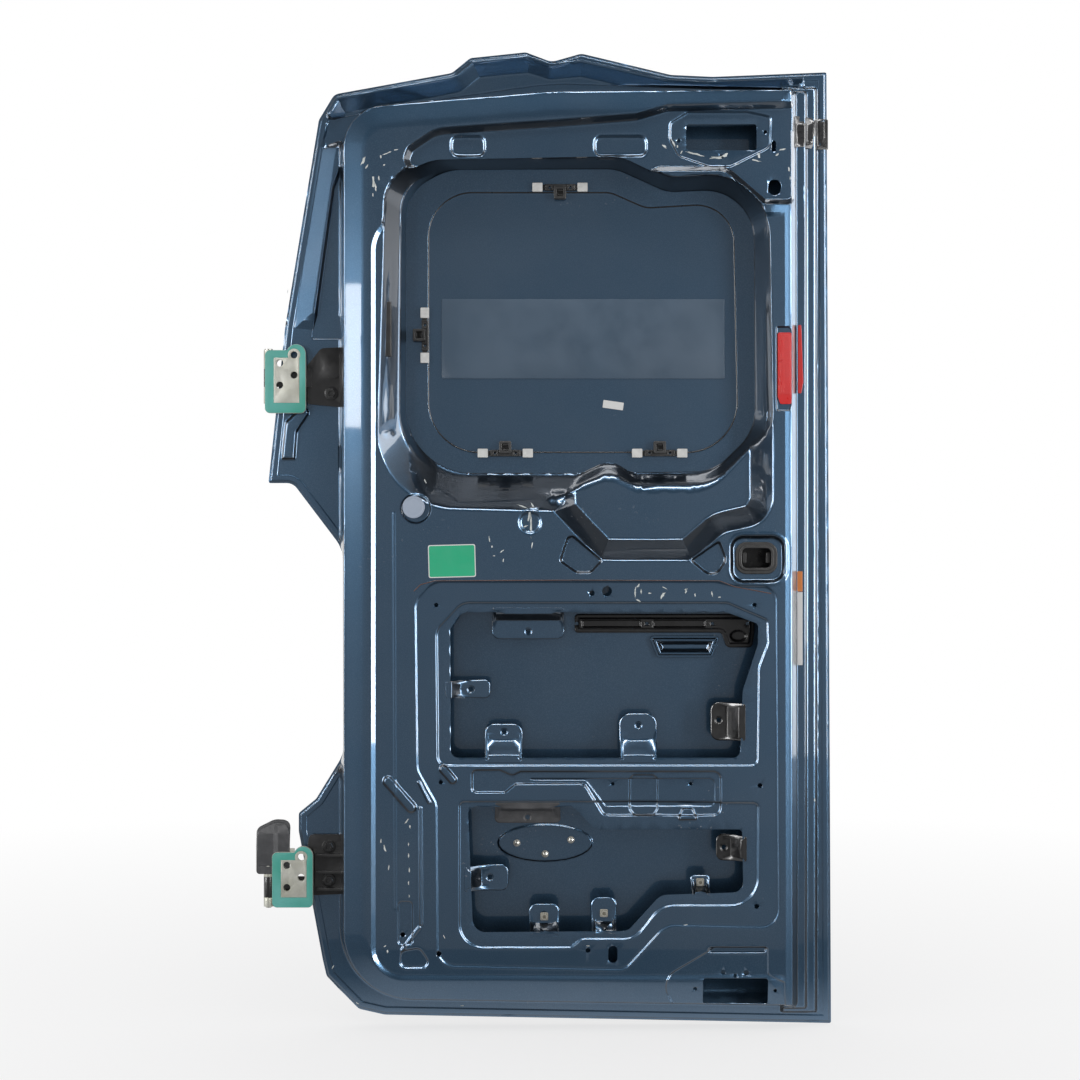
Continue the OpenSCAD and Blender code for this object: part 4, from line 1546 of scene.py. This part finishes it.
@dataclass(frozen=True)
class Chips:
    """Bare spots where the paint has come off the edges and faces of the panel."""

    spots: tuple[tuple[float, float, float, float, float], ...] = (
        (368, 544, 1.5, 21, 1), (356, 571, 11, 1.1, -22), (370, 512, 1.0, 5, -12),
        (527, 440, 1.6, 9, 0), (531, 450, 5, 1.6, 48), (532, 428, 5, 1.3, -25),
        (569, 436, 2.2, 8, -35), (618, 1110, 15, 1.6, -14), (652, 1104, 13, 2.2, 3),
        (665, 1108, 5, 3, 30), (571, 1121, 5, 2, -35), (716, 1107, 2.4, 5, 20),
        (129, 1063, 2.4, 12, 4), (586, 1126, 1.4, 8, 30),
        (572, 447, 5, 1.0, -30), (604, 445, 3, 1.4, 20), (113, 1096, 2.2, 9, -20),
        (119, 1088, 1.4, 5, -35), (132, 1056, 1.6, 8, 5),
        (137, 1070, 1.2, 4, 10), (150, 1108, 9, 1.2, 25), (163, 1113, 4, 1.0, 10),
        (140, 1103, 1.6, 3, 0), (128, 1044, 1.0, 4, 0), (145, 1090, 2, 1.2, 30),
        (365, 556, 2.0, 9, -8), (370, 574, 1.2, 6, 30), (360, 541, 4, 1.2, 20),
        (305, 521, 1.0, 5, 12), (324, 503, 5, 1.2, 35), (312, 496, 2, 1.0, 0),
        (326, 489, 1.2, 3, 0), (309, 510, 1.2, 2, 0), (536, 442, 1.2, 4, 10),
        (549, 439, 3, 1.0, 0), (604, 441, 1.4, 5, -20), (618, 436, 1.0, 3, 0),
        (644, 438, 1.2, 5, 12), (655, 433, 2.4, 1.0, 0), (146, 50, 1.6, 7, 20),
        (140, 62, 1.0, 4, 0), (152, 22, 1.0, 6, -12), (179, 92, 1.0, 6, -35),
        (184, 84, 1.2, 3, 0), (182, 57, 1.0, 3, 0), (182, 40, 1.2, 4, 5), (183, 18, 0.9, 5, 0),
        (182, -2, 1.0, 4, 0), (183, -22, 0.8, 3, 0), (150, -106, 1.2, 3, 0),
        (146, -98, 2.2, 1.0, 20), (752, 1116, 5, 1.4, 10), (762, 1086, 1.4, 4, 5),
        (764, 1072, 1.0, 3, 0), (712, 1099, 8, 1.1, -14), (682, 1094, 5, 1.0, -6),
        (744, 1108, 4, 1.2, 35), (598, 1112, 1.2, 4, -30), (592, 1121, 1.2, 3, 0),
        (772, 1066, 1.0, 5, 0), (806, 596, 0.8, 3, 0), (808, 402, 0.8, 4, 0),
        (806, 356, 1.0, 3, 0), (807, 212, 0.8, 3, 0), (805, 120, 1.0, 3, 0),
        (62, -140, 0.9, 4, -30), (100, -196, 3, 0.9, -25), (206, 610, 1.0, 4, 25),
        (262, -200, 3, 0.8, 0), (-8, 905, 0.7, 4, -8), (130, 880, 0.8, 5, 2),
        (236, -84, 0.9, 4, 25), (455, -98, 3.5, 0.8, -4), (604, -66, 4, 0.8, 8),
    )

    def build(self, fitter: Fitter) -> None:
        """Lay every chip on the panel's surface.

        Args:
            fitter: fixes the piece to its body.
        """
        rng = np.random.default_rng(5)
        pts: list[Point] = []
        faces: list[tuple[int, ...]] = []
        for x, z, a, b, turn in self.spots:
            n = 14
            first = len(pts)
            c, s = math.cos(math.radians(turn)), math.sin(math.radians(turn))
            pts.append((x, z))
            for share in (0.5, 1.0):
                rough = rng.uniform(0.45, 1.15, n)
                for k in range(n):
                    t = 2 * math.pi * k / n
                    u, v = a * share * rough[k] * math.cos(t), b * share * rough[k] * math.sin(t)
                    pts.append((x + u * c - v * s, z + u * s + v * c))
            for k in range(n):
                m = (k + 1) % n
                faces.append((first, first + 1 + m, first + 1 + k))
                faces.append((first + 1 + k, first + 1 + m, first + 1 + n + m, first + 1 + n + k))
        flat = np.array(pts)
        y = surface_mm(flat) - 0.25
        verts = [(float(p[0]) * MM, float(d) * MM, float(p[1]) * MM) for p, d in zip(flat, y)]
        chips = solid("paint_chips", verts, faces, 80)
        fitter.fit(chips, Body.DOOR, "door_paint", look="bare_chip")


@dataclass(frozen=True)
class Label:
    """A thin blank sheet on the panel's surface: a label, or the black band on the lock side."""

    name: str
    outline: Outline
    look: str
    lift_by: float = 0.3

    def build(self, fitter: Fitter) -> None:
        """Lay the label down.

        Args:
            fitter: fixes the piece to its body.
        """
        obj = pressed_sheet(
            self.name, self.outline, FLANGE_Y, InnerPanel().forms(), [], 8.0, self.lift_by
        )
        finish_sheet(obj, 0.15)
        fitter.fit(obj, Body.DOOR, "door_paint", look=self.look)


LABELS = (
    Label("rescue_label_border", turned(rect(212, 284, 463, 513, 3), 248, 488, 1.5),
          "label_white", 0.25),
    Label("rescue_label", turned(rect(213.5, 282.5, 464.5, 511.5, 2.4), 248, 488, 1.5),
          "label_green", 0.45),
    Label("edge_label", rect(777, 785, 328, 440, 0.8), "label_white"),
    Label("edge_label_head", rect(777, 785, 441, 472, 0.8), "label_orange"),
    # A thin black sheet over the lock-side flange and its ribs, which makes a dark band across
    # them.
    Label("edge_band", rect(772, 827, 1123, 1170, 2), "edge_band", 0.35),
)


@dataclass(frozen=True)
class TrimClips:
    """The four trim clips of the window field with their foam pads."""

    places: tuple[tuple[float, float, float], ...] = (
        (413, HEAD_Z - 206, 180), (203, 838, -90), (328, BELT_Z + 196, 0),
        (568, BELT_Z + 196, 0),
    )

    def build(self, fitter: Fitter) -> None:
        """Model one clip and one pair of pads, then set them on their places.

        Args:
            fitter: fixes the pieces to their body.
        """
        y = DEEP_Y - 0.2
        spots = [(x, y, z, t) for x, z, t in self.places]
        base = slab("clip_base", [rect(-43, 43, -4, 4, 1.5), oval(-16, 0, 2, 2, 8),
                                  oval(16, 0, 2, 2, 8)], -3.2, 0, 0.5)
        deck = slab("clip_deck", [rect(-24, 24, -5, 5, 1.2), oval(-16, 0, 2.6, 2.6, 8),
                                  oval(16, 0, 2.6, 2.6, 8)], -5.2, -2.8, 0.5)
        collar = slab("clip_collar", [rect(-9.5, 9.5, -0.5, 18.5, 2.2),
                                      rect(-5.4, 5.4, 3.6, 14.4, 1.2)], -12, -0.1, 0.6)
        well = slab("clip_well", [rect(-6, 6, 3, 15, 1)], -3.4, -2.6, 0.1)
        ribs = [
            slab(f"clip_rib_{k}", [rect(x - 0.7, x + 0.7, -4.6, 4.6, 0.4)], -6.4, -5, 0.25)
            for k, x in enumerate((-22, -11.5, 11.5, 22))
        ]
        jaws = [
            slab(f"clip_jaw_{k}", [rect(-4.2, 4.2, z - 0.9, z + 0.9, 0.5)], -10.6, -4, 0.4)
            for k, z in enumerate((5.2, 12.8))
        ]
        tool = joined("clip", [base, deck, collar, well, *ribs, *jaws])
        smooth(tool, 35)
        clips = fitter.placed("trim_clip_set", tool, spots, "clip_black")
        fitter.fit(clips, Body.DOOR, "clip_black", ("trim_clips",))
        halves = [
            slab(f"pad_{k}", [rect(x0, x0 + 16, -6.8, 6.8, 1.2)], -8, -3, 0.8)
            for k, x0 in enumerate((-43, 27))
        ]
        pads = joined("pad_pair", halves)
        smooth(pads, 35)
        done = fitter.placed("clip_pad_set", pads, spots, "pad_white")
        fitter.fit(done, Body.DOOR, "pad_white", ("clip_pads",))


class Way(Enum):
    """The side to which a bracket's far plate points from its foot."""

    UP = "up"
    DOWN = "down"
    LEFT = "left"
    RIGHT = "right"


@dataclass(frozen=True)
class Tab:
    """A bent sheet bracket at the edge of a service opening.

    The box gives its seen part in x and z, the eye the middle of its hole, the leg the
    share of the box that the sloped web takes, and the depth how far back its plate lies.
    """

    node: str
    box: tuple[float, float, float, float]
    way: Way
    eye: tuple[float, float]
    leg: float = 0.5
    slot: str = "door_paint"
    rim: float = 1.2
    foot: float = 9.0
    depth: float = 24.0

    def build(self) -> bpy.types.Object:
        """Bend the bracket: a lip on the panel, a web and a far plate.

        Returns:
            The bracket, not yet on its body.
        """
        x0, x1, z0, z1 = self.box
        y = RIM_Y + SHEET_T + SEAT_GAP
        foot, far = self.foot, BEYOND
        run = self.leg * ((z1 - z0) if self.way in (Way.UP, Way.DOWN) else (x1 - x0))
        r = min(x1 - x0, z1 - z0) * 0.3
        if self.way is Way.UP:
            turns = ((x0 + 2, z0 - foot, 3), (x1 - 2, z0 - foot, 3), (x1, z1, r), (x0, z1, r))
            near = rect(x0 - far, x1 + far, z0 - far, z0 + run, 1)
        elif self.way is Way.DOWN:
            turns = ((x0, z0, r), (x1, z0, r), (x1 - 2, z1 + foot, 3), (x0 + 2, z1 + foot, 3))
            near = rect(x0 - far, x1 + far, z1 - run, z1 + far, 1)
        elif self.way is Way.LEFT:
            turns = ((x0 - foot, z0 + 2, 3), (x1, z0, r), (x1, z1, r), (x0 - foot, z1 - 2, 3))
            near = rect(x0 - far, x0 + run, z0 - far, z1 + far, 1)
        else:
            turns = ((x0, z0, r), (x1 + foot, z0 + 2, 3), (x1 + foot, z1 - 2, 3), (x0, z1, r))
            near = rect(x1 - run, x1 + far, z0 - far, z1 + far, 1)
        edge = Outline(turns)
        x, z = self.eye
        forms = [
            lift(edge.inset(-0.5), 2.5, self.rim), Box(near, run, y, 0, 0.12),
            dent(oval(x, z, 6.5, 6.5, 14), 2, 1.0),
        ]
        holes = [oval(x, z, 3.6, 3.6, 12)]
        base = y + self.depth - SHEET_T
        obj = pressed_sheet(self.node + "_bent", edge, base, forms, holes, 14)
        finish_sheet(obj, SHEET_T)
        return obj


TABS: tuple[tuple[str, tuple[Tab, ...]], ...] = (
    ("upper_left_bracket", (Tab("ul", (247, 306, 277, 306), Way.LEFT, (276, 291), 0.22),)),
    ("upper_lower_left_bracket", (Tab("ull", (297, 356, 190, 238), Way.UP, (327, 226)),)),
    ("upper_lower_mid_bracket", (Tab("ulm", (503, 562, 190, 254), Way.UP, (533, 236), 0.38),)),
    ("upper_right_bracket", (
        Tab("ur", (644, 686, 212, 272), Way.RIGHT, (656, 244), 0.42, "arm_black"),
    )),
    ("upper_top_plate", (Tab("ut", (308, 420, 368, 408), Way.DOWN, (364, 380), 0.3),)),
    ("lower_left_bracket", (Tab("ll", (276, 334, -18, 23), Way.LEFT, (305, 3), 0.3),)),
    ("lower_top_bracket", (
        Tab("lt", (312, 414, 86, 111), Way.DOWN, (363, 95), 0.3, "cap_grey"),
    )),
    ("lower_foot_brackets", (
        Tab("lf1", (365, 412, -76, -38), Way.UP, (388, -55), 0.25),
        Tab("lf2", (460, 500, -76, -28), Way.UP, (480, -52), 0.25),
        Tab("lf3", (612, 643, -15, 6), Way.UP, (628, -4), 0.25),
    )),
    ("lower_right_bracket", (
        Tab("lr", (652, 688, 28, 70), Way.RIGHT, (664, 49), 0.4, "arm_black"),
    )),
)


@dataclass(frozen=True)
class Fittings:
    """Plug, bezel, reflector, handle parts, brackets, studs and nuts of the door."""

    strip_t: float = 1.5
    dish_t: float = 1.2
    reflector_t: float = 2.3
    nut_spots: tuple[Point, ...] = ((388.5, -57), (480, -52), (627.5, -4.5))
    stud_spots: tuple[Point, ...] = ((346, 49), (390, 32), (430, 54))

    def build(self, fitter: Fitter) -> None:
        """Build every fitting.

        Args:
            fitter: fixes the pieces to their bodies.
        """
        self.plug(fitter)
        self.bezel(fitter)
        self.reflector(fitter)
        self.handle(fitter)
        self.brackets(fitter)
        self.small_parts(fitter)

    def plug(self, fitter: Fitter) -> None:
        """The round plug: a domed cap with a rolled rim.

        Args:
            fitter: fixes the piece to its body.
        """
        profile = [
            (10, 4.0), (10, -0.3), (16.4, -0.3), (17, -0.9), (16.6, -1.8), (15.2, -2.2),
            (13.6, -1.9), (12.8, -1.6), (11, -1.9), (6, -2.2), (0.3, -2.3),
        ]
        obj = lathe("plug_cap", profile, (190, NEAR_Y, mz(111)), 48)
        fitter.fit(obj, Body.DOOR, "plug_blue", ("round_plug",))

    def bezel(self, fitter: Fitter) -> None:
        """The bezel of the inner release: a collar, a rim and a dark well.

        Args:
            fitter: fixes the piece to its body.
        """
        rim = slab("bezel_rim", [RELEASE_HOLE.inset(-9), RELEASE_HOLE], NEAR_Y + 8.7,
                   NEAR_Y + 11.7, 1.2)
        lip = slab("bezel_lip", [RELEASE_HOLE.inset(-3.5), RELEASE_HOLE.inset(0.6)],
                   NEAR_Y + 6.8, NEAR_Y + 24, 0.8)
        tabs = [
            slab(f"bezel_tab_{k}", [rect(x - 3, x + 3, mz(26), mz(42), 1)], NEAR_Y + 14,
                 NEAR_Y + 22, 0.5) for k, x in enumerate((rx(138), rx(102)))
        ]
        obj = joined("bezel", [rim, lip, *tabs])
        smooth(obj, 35)
        fitter.fit(obj, Body.DOOR, "clip_black", ("release_bezel",))

    def reflector(self, fitter: Fitter) -> None:
        """The red reflector: two stepped faces with fine upright ribs.

        Args:
            fitter: fixes the piece to its body.
        """
        y = REFLECTOR_Y
        plate = slab("reflector_plate", [Outline((
            (744, 738, 3), (748, 727, 3), (765, 727, 3), (765, 836, 3), (744, 836, 3),
        ))], y - SEAT_GAP - self.reflector_t, y - SEAT_GAP, 0.4)
        face = slab("reflector_face", [rect(746, 764, 741, 833, 2)], y - 3.1, y - 2.3, 0.3)
        ribs = [
            slab(f"reflector_rib_{k}", [rect(x - 0.5, x + 0.5, 743, 831, 0.3)], y - 3.5,
                 y - 2.9, 0.2) for k, x in enumerate(np.linspace(748, 762, 7))
        ]
        obj = joined("reflector", [plate, face, *ribs])
        smooth(obj, 35)
        fitter.fit(obj, Body.DOOR, "reflector_red", ("red_reflector",))
        edge = slab("reflector_edge", [Outline((
            (778, 745, 2), (783, 745, 2), (786, 762, 2), (783, 850, 2), (778, 850, 2),
        ))], LOCK_STEP_Y - 1.5, LOCK_STEP_Y - SEAT_GAP, 0.4)
        fitter.fit(edge, Body.DOOR, "reflector_red")

    def handle(self, fitter: Fitter) -> None:
        """The handle's reinforcement strip and the back of its cup.

        Args:
            fitter: fixes the piece to its body.
        """
        strip = Outline((
            (rx(396), mz(-83), 5), (664, mz(-83), 6), (672, mz(-106), 8), (712, mz(-106), 8),
            (rx(117), mz(-84), 6), (rx(117), mz(-54), 6), (rx(396), mz(-54), 6),
        ))
        forms = [
            dent(strip.inset(5), 3, -3.2),
            dent(rect(446, 540, mz(-76), mz(-62), 4), 3, 5),
            dent(rect(556, 640, mz(-76), mz(-62), 4), 3, 5),
            dent(oval(690, mz(-88), 14, 10, 14), 4, 6),
        ]
        holes = [oval(x, mz(-69), 3, 3, 8) for x in (439, 548, 650, 704)]
        obj = pressed_sheet("handle_strip", strip, DEEP_Y - 6, forms, holes, 12)
        finish_sheet(obj, self.strip_t)
        fitter.fit(obj, Body.DOOR, "arm_black", ("handle_reinforcement",))
        cup = Outline((
            (rx(268), mz(-121), 5), (rx(182), mz(-121), 5), (rx(170), mz(-88), 5),
            (rx(281), mz(-88), 5),
        ))
        dish = pressed_sheet(
            "handle_dish", cup, DEEP_Y - 8,
            [dent(cup.inset(3), 2, -4), dent(cup.inset(7), 7, 8)], [], 12,
        )
        finish_sheet(dish, self.dish_t)
        fitter.fit(dish, Body.DOOR, "door_paint", ("handle_cup",))

    def brackets(self, fitter: Fitter) -> None:
        """The bent tabs round both service openings.

        Args:
            fitter: fixes the piece to its body.
        """
        for node, tabs in TABS:
            parts = [tab.build() for tab in tabs]
            obj = joined(node + "_sheet", parts) if len(parts) > 1 else parts[0]
            if len(parts) > 1:
                smooth(obj, 35)
            fitter.fit(obj, Body.DOOR, tabs[0].slot, (node,))

    def small_parts(self, fitter: Fitter) -> None:
        """Studs of the badge seat and clip nuts of the lower brackets.

        Args:
            fitter: fixes the piece to its body.
        """
        stud = lathe("stud", [
            (5.5, 0), (5.5, -1.5), (3.6, -1.8), (3.6, -5), (2.6, -5.4), (2.6, -7.4), (1.6, -8),
        ], (0, 0, 0), 24)
        y = DEEP_Y - 2.7
        spots = [(x, y, z, 0) for x, z in self.stud_spots]
        done = fitter.placed("badge_stud_set", stud, spots, "pin_steel")
        fitter.fit(done, Body.DOOR, "pin_steel", ("badge_studs",))
        collar = slab("nut_collar", [rect(-6, 6, -6, 6, 2), oval(0, 0, 2.6, 2.6, 8)], -3, 0, 0.6)
        neck = lathe("nut_neck", [(5, -2.5), (5, -6.5), (4.4, -7.4), (2.8, -7.4), (2.6, -3)],
                     (0, 0, 0), 24)
        nut = joined("nut", [collar, neck])
        smooth(nut, 35)
        y = RIM_Y + SHEET_T + 22.4
        spots = [(x, y, z, 0) for x, z in self.nut_spots]
        done = fitter.placed("clip_nut_set", nut, spots, "nut_white")
        fitter.fit(done, Body.DOOR, "nut_white", ("clip_nuts",))


@dataclass(frozen=True)
class Hinge:
    """One hinge: leaf, gasket and pin on the van, arm and bolts on the door."""

    side: str
    z: float
    bolts: tuple[Point, ...]
    head_gap: float = 6.6

    def build(self, fitter: Fitter) -> None:
        """Build the hinge's pieces.

        Args:
            fitter: fixes the pieces to their bodies.
        """
        for piece, width, segments, body, slot in (
            ("leaf", 0.8, 3, Body.VAN, "leaf_steel"),
            ("gasket", 0.35, 2, Body.VAN, "gasket_teal"),
            ("pin", 0.6, 3, Body.VAN, "pin_steel"),
            ("arm", 1.4, 3, Body.DOOR, "arm_black"),
        ):
            node = f"{self.side}_hinge_{piece}"
            fitter.fit(softened(node, width, segments), body, slot, (node,))
        heads: list[bpy.types.Object] = []
        for k, (x, z) in enumerate(self.bolts):
            at = (x, FLANGE_Y - self.head_gap, self.z + z)
            heads.append(lathe(f"washer_{k}", [(4, 0), (10, 0), (10.4, -0.6), (10, -1.6),
                                               (7.6, -2)], at, 32))
            heads.append(lathe(f"head_{k}", [(7.4, -1.8), (7.8, -2.4), (7.8, -6.2), (7, -7),
                                             (4.2, -7), (3.6, -5.6)], at, 6))
        obj = joined(self.side + "_bolt_heads", heads)
        fitter.fit(obj, Body.DOOR, "arm_black", (self.side + "_arm_bolts",))


@dataclass(frozen=True)
class HingeCap:
    """The grey cap over the top knuckle of the lower hinge."""

    wall: float = 2.0
    groove_z: float = 12.0

    def build(self, fitter: Fitter) -> None:
        """Shape the cap with its sloped head and its parting line.

        Args:
            fitter: fixes the piece to its body.
        """
        low, high = node_mm("lower_hinge_cover")
        x0, x1, z0, z1 = low.x, high.x, low.z, high.z
        groove = z0 + self.groove_z
        edge = Outline(((x0, z0, 5), (x1, z0, 5), (x1, z1 - 2, 14), ((x0 + x1) / 2, z1, 20),
                        (x0, z1 - 12, 8)))
        forms = [
            Box(edge, 4, low.y + 10, 0, 0.4),
            Box(rect(x0 - 40, x1 + 40, z0 - 40, z1 - 5, 1), 15, low.y + 0.5, 0, 0.1),
            dent(rect(x0 + 25, x1 + 40, z0 - 40, z1 + 40, 1), 9, 4, 0.2),
            dent(bar(x0 - 20, groove, x1 + 20, groove, 1.2), 1, 0.8),
        ]
        obj = pressed_sheet("hinge_cap", edge, high.y - 2.5, forms, [], 12)
        finish_sheet(obj, self.wall)
        fitter.fit(obj, Body.VAN, "cap_grey", ("lower_hinge_cover",))


@dataclass(frozen=True)
class Lamp:
    """A soft rectangular lamp aimed at the middle of the door."""

    name: str
    at: tuple[float, float, float]
    size: tuple[float, float]
    power: float

    def build(self) -> None:
        """Hang the lamp, which shows in shiny surfaces alone."""
        data = bpy.data.lights.new(self.name, "AREA")
        data.shape = "RECTANGLE"
        data.size, data.size_y = self.size
        data.energy = self.power
        obj = added(self.name, data)
        obj.location = self.at
        obj.visible_diffuse = False
        aim = Vector(DOOR_MIDDLE) - Vector(self.at)
        obj.rotation_euler = aim.to_track_quat("-Z", "Y").to_euler()


LAMPS = (
    Lamp("left_lamp", (-2.2, -1.3, 0.9), (0.6, 2.0), 90.0),
    Lamp("left_panel", (-0.95, -1.9, 0.98), (0.46, 0.36), 6.0),
    Lamp("right_lamp", (2.5, -2.1, 0.9), (0.6, 2.0), 90.0),
    Lamp("right_panel", (2.6, 0.1, 0.95), (2.6, 1.4), 65.0),
    Lamp("top_lamp", (0.4, -1.3, 3.2), (2.2, 0.5), 68.0),
)


@dataclass(frozen=True)
class Studio:
    """Floor, world and camera, in the photograph's scale of millimetres per pixel."""

    scale: float = 1.55
    photo_px: float = 1080.0
    distance: float = 3400.0
    plane: float = 30.0
    centre: tuple[float, float] = (382.0, 520.0)
    side_glow: float = 0.6
    top_glow: float = 0.02
    front_glow: float = 0.27
    ambient: tuple[float, float, float] = (0.70, 0.70, 0.71)
    dark: tuple[float, float, float] = (0.02, 0.021, 0.024)
    white: tuple[float, float, float] = (1.0, 1.0, 1.0)
    floor_x: tuple[float, float] = (-5.0, 6.0)
    floor_y: tuple[float, float] = (-0.7, 7.0)

    def build(self) -> None:
        """Set up the stage and the view."""
        self.camera()
        self.world()
        self.floor()
        for lamp in LAMPS:
            lamp.build()
        bpy.context.scene.view_settings.view_transform = "Standard"

    def camera(self) -> None:
        """The camera at the photograph's angle and distance."""
        data = bpy.data.cameras.new("camera")
        obj = added("camera", data)
        x, z = self.centre
        obj.location = Vector((x, self.plane - self.distance, z)) * MM
        obj.rotation_euler = (math.pi / 2, 0, 0)
        data.sensor_width = 36.0
        data.lens = data.sensor_width * self.distance / (self.photo_px * self.scale)
        bpy.context.scene.camera = obj

    def world(self) -> None:
        """Soft studio surroundings: white behind, bright panels at the sides."""
        world = bpy.data.worlds.new("studio")
        bpy.context.scene.world = world
        world.use_nodes = True
        n = Nodes(world.node_tree)
        out = world.node_tree.nodes["Background"]
        ray = n.add("ShaderNodeLightPath")
        split = n.add("ShaderNodeSeparateXYZ", Vector=n.where("Generated"))
        back = n.span(split.outputs["Y"], 0.7, 0.92)
        top = n.span(split.outputs["Z"], 0.0, 0.5, 0.0, self.top_glow)
        right = n.span(split.outputs["X"], 0.35, 0.8, 0.0, self.side_glow)
        left = n.span(split.outputs["X"], -0.25, -0.7, 0.0, self.side_glow)
        band = n.span(split.outputs["Z"], 0.13, 0.28, 1.2, 0.15)
        ahead = n.span(split.outputs["Y"], -0.70, -0.99, 0.0, self.front_glow)
        front = n.math("MULTIPLY", ahead, band)
        sides = n.math("MAXIMUM", left, right)
        near = n.math("MAXIMUM", n.math("MAXIMUM", top, sides), front)
        level = n.mix(n.math("MAXIMUM", near, back), self.dark, self.white)
        soft = n.mix(ray.outputs["Is Glossy Ray"], self.ambient, level)
        seen = n.math("MAXIMUM", ray.outputs["Is Camera Ray"], ray.outputs["Is Transmission Ray"])
        n.link(n.mix(seen, soft, self.white), out.inputs["Color"])
        out.inputs["Strength"].default_value = 1.0

    def floor(self) -> None:
        """A plain pale floor that takes the shadow."""
        mesh = bpy.data.meshes.new("floor")
        z = (FOOT_Z - 1.0) * MM
        (x0, x1), (y0, y1) = self.floor_x, self.floor_y
        corners = [(x0, y0, z), (x1, y0, z), (x1, y1, z), (x0, y1, z)]
        mesh.from_pydata(corners, [], [(0, 1, 2, 3)])
        obj = added("floor", mesh)
        mat, n, shader = new_material("floor_white")
        shader.inputs["Base Color"].default_value = (0.9, 0.9, 0.9, 1)
        shader.inputs["Roughness"].default_value = 0.9
        shader.inputs["Specular IOR Level"].default_value = 0.0
        glow = n.add("ShaderNodeEmission", Color=(1.0, 1.0, 1.0, 1.0))
        ray = n.add("ShaderNodeLightPath")
        blend = n.add("ShaderNodeMixShader")
        at = n.where()
        far = n.add("ShaderNodeVectorMath", operation="DISTANCE")
        n.link(at, far.inputs[0])
        far.inputs[1].default_value = (0.4, 0.1, z)
        fade = n.span(far.outputs["Value"], 0.5, 2.6, 0.7, 1.0)
        split = n.add("ShaderNodeSeparateXYZ", Vector=at)
        shiny = ray.outputs["Is Glossy Ray"]
        clear = n.math("MAXIMUM", ray.outputs["Is Camera Ray"], ray.outputs["Is Transmission Ray"])
        behind = n.span(split.outputs["Y"], -0.35, -0.05, 0.1, 1.0)
        n.link(n.math("MAXIMUM", clear, behind), glow.inputs["Strength"])
        n.link(n.math("MAXIMUM", n.math("MULTIPLY", clear, fade), shiny), blend.inputs[0])
        n.link(shader.outputs[0], blend.inputs[1])
        n.link(glow.outputs[0], blend.inputs[2])
        n.link(blend.outputs[0], mat.node_tree.nodes["Material Output"].inputs[0])
        mesh.materials.append(mat)


def main() -> None:
    """Build the pieces in order and report each one."""
    logging.basicConfig(level=logging.INFO, format="%(message)s")
    Studio().build()
    effects = Effects()
    paint = Paint().build(effects)
    mats = {finish.name: finish.build(effects) for finish in FINISHES}
    mats["door_paint"] = paint
    slots = {s["node"]: s["material_slot"] for s in frame["record"]["subparts"]}
    for name, obj in frame["nodes"].items():
        dress(obj, mats[slots[name]])
    fitter = Fitter(mats, placer_tree())
    InnerPanel().build(fitter)
    OuterSkin().build(fitter)
    Hinge("upper", UPPER_HINGE_Z, ((60, -26),)).build(fitter)
    Hinge("lower", 0.0, ((56, -5), (56, 47))).build(fitter)
    HingeCap().build(fitter)
    TrimClips().build(fitter)
    Fittings().build(fitter)
    fitter.fit(softened("side_wall_clip", 1.2, 3), Body.DOOR, "clip_black", ("side_wall_clip",))
    fitter.fit(softened("damping_pad", 0.4), Body.DOOR, "damping_blue", ("damping_pad",))
    Sealant().build(fitter)
    Chips().build(fitter)
    for label in LABELS:
        label.build(fitter)


if __name__ == "__main__":
    main()
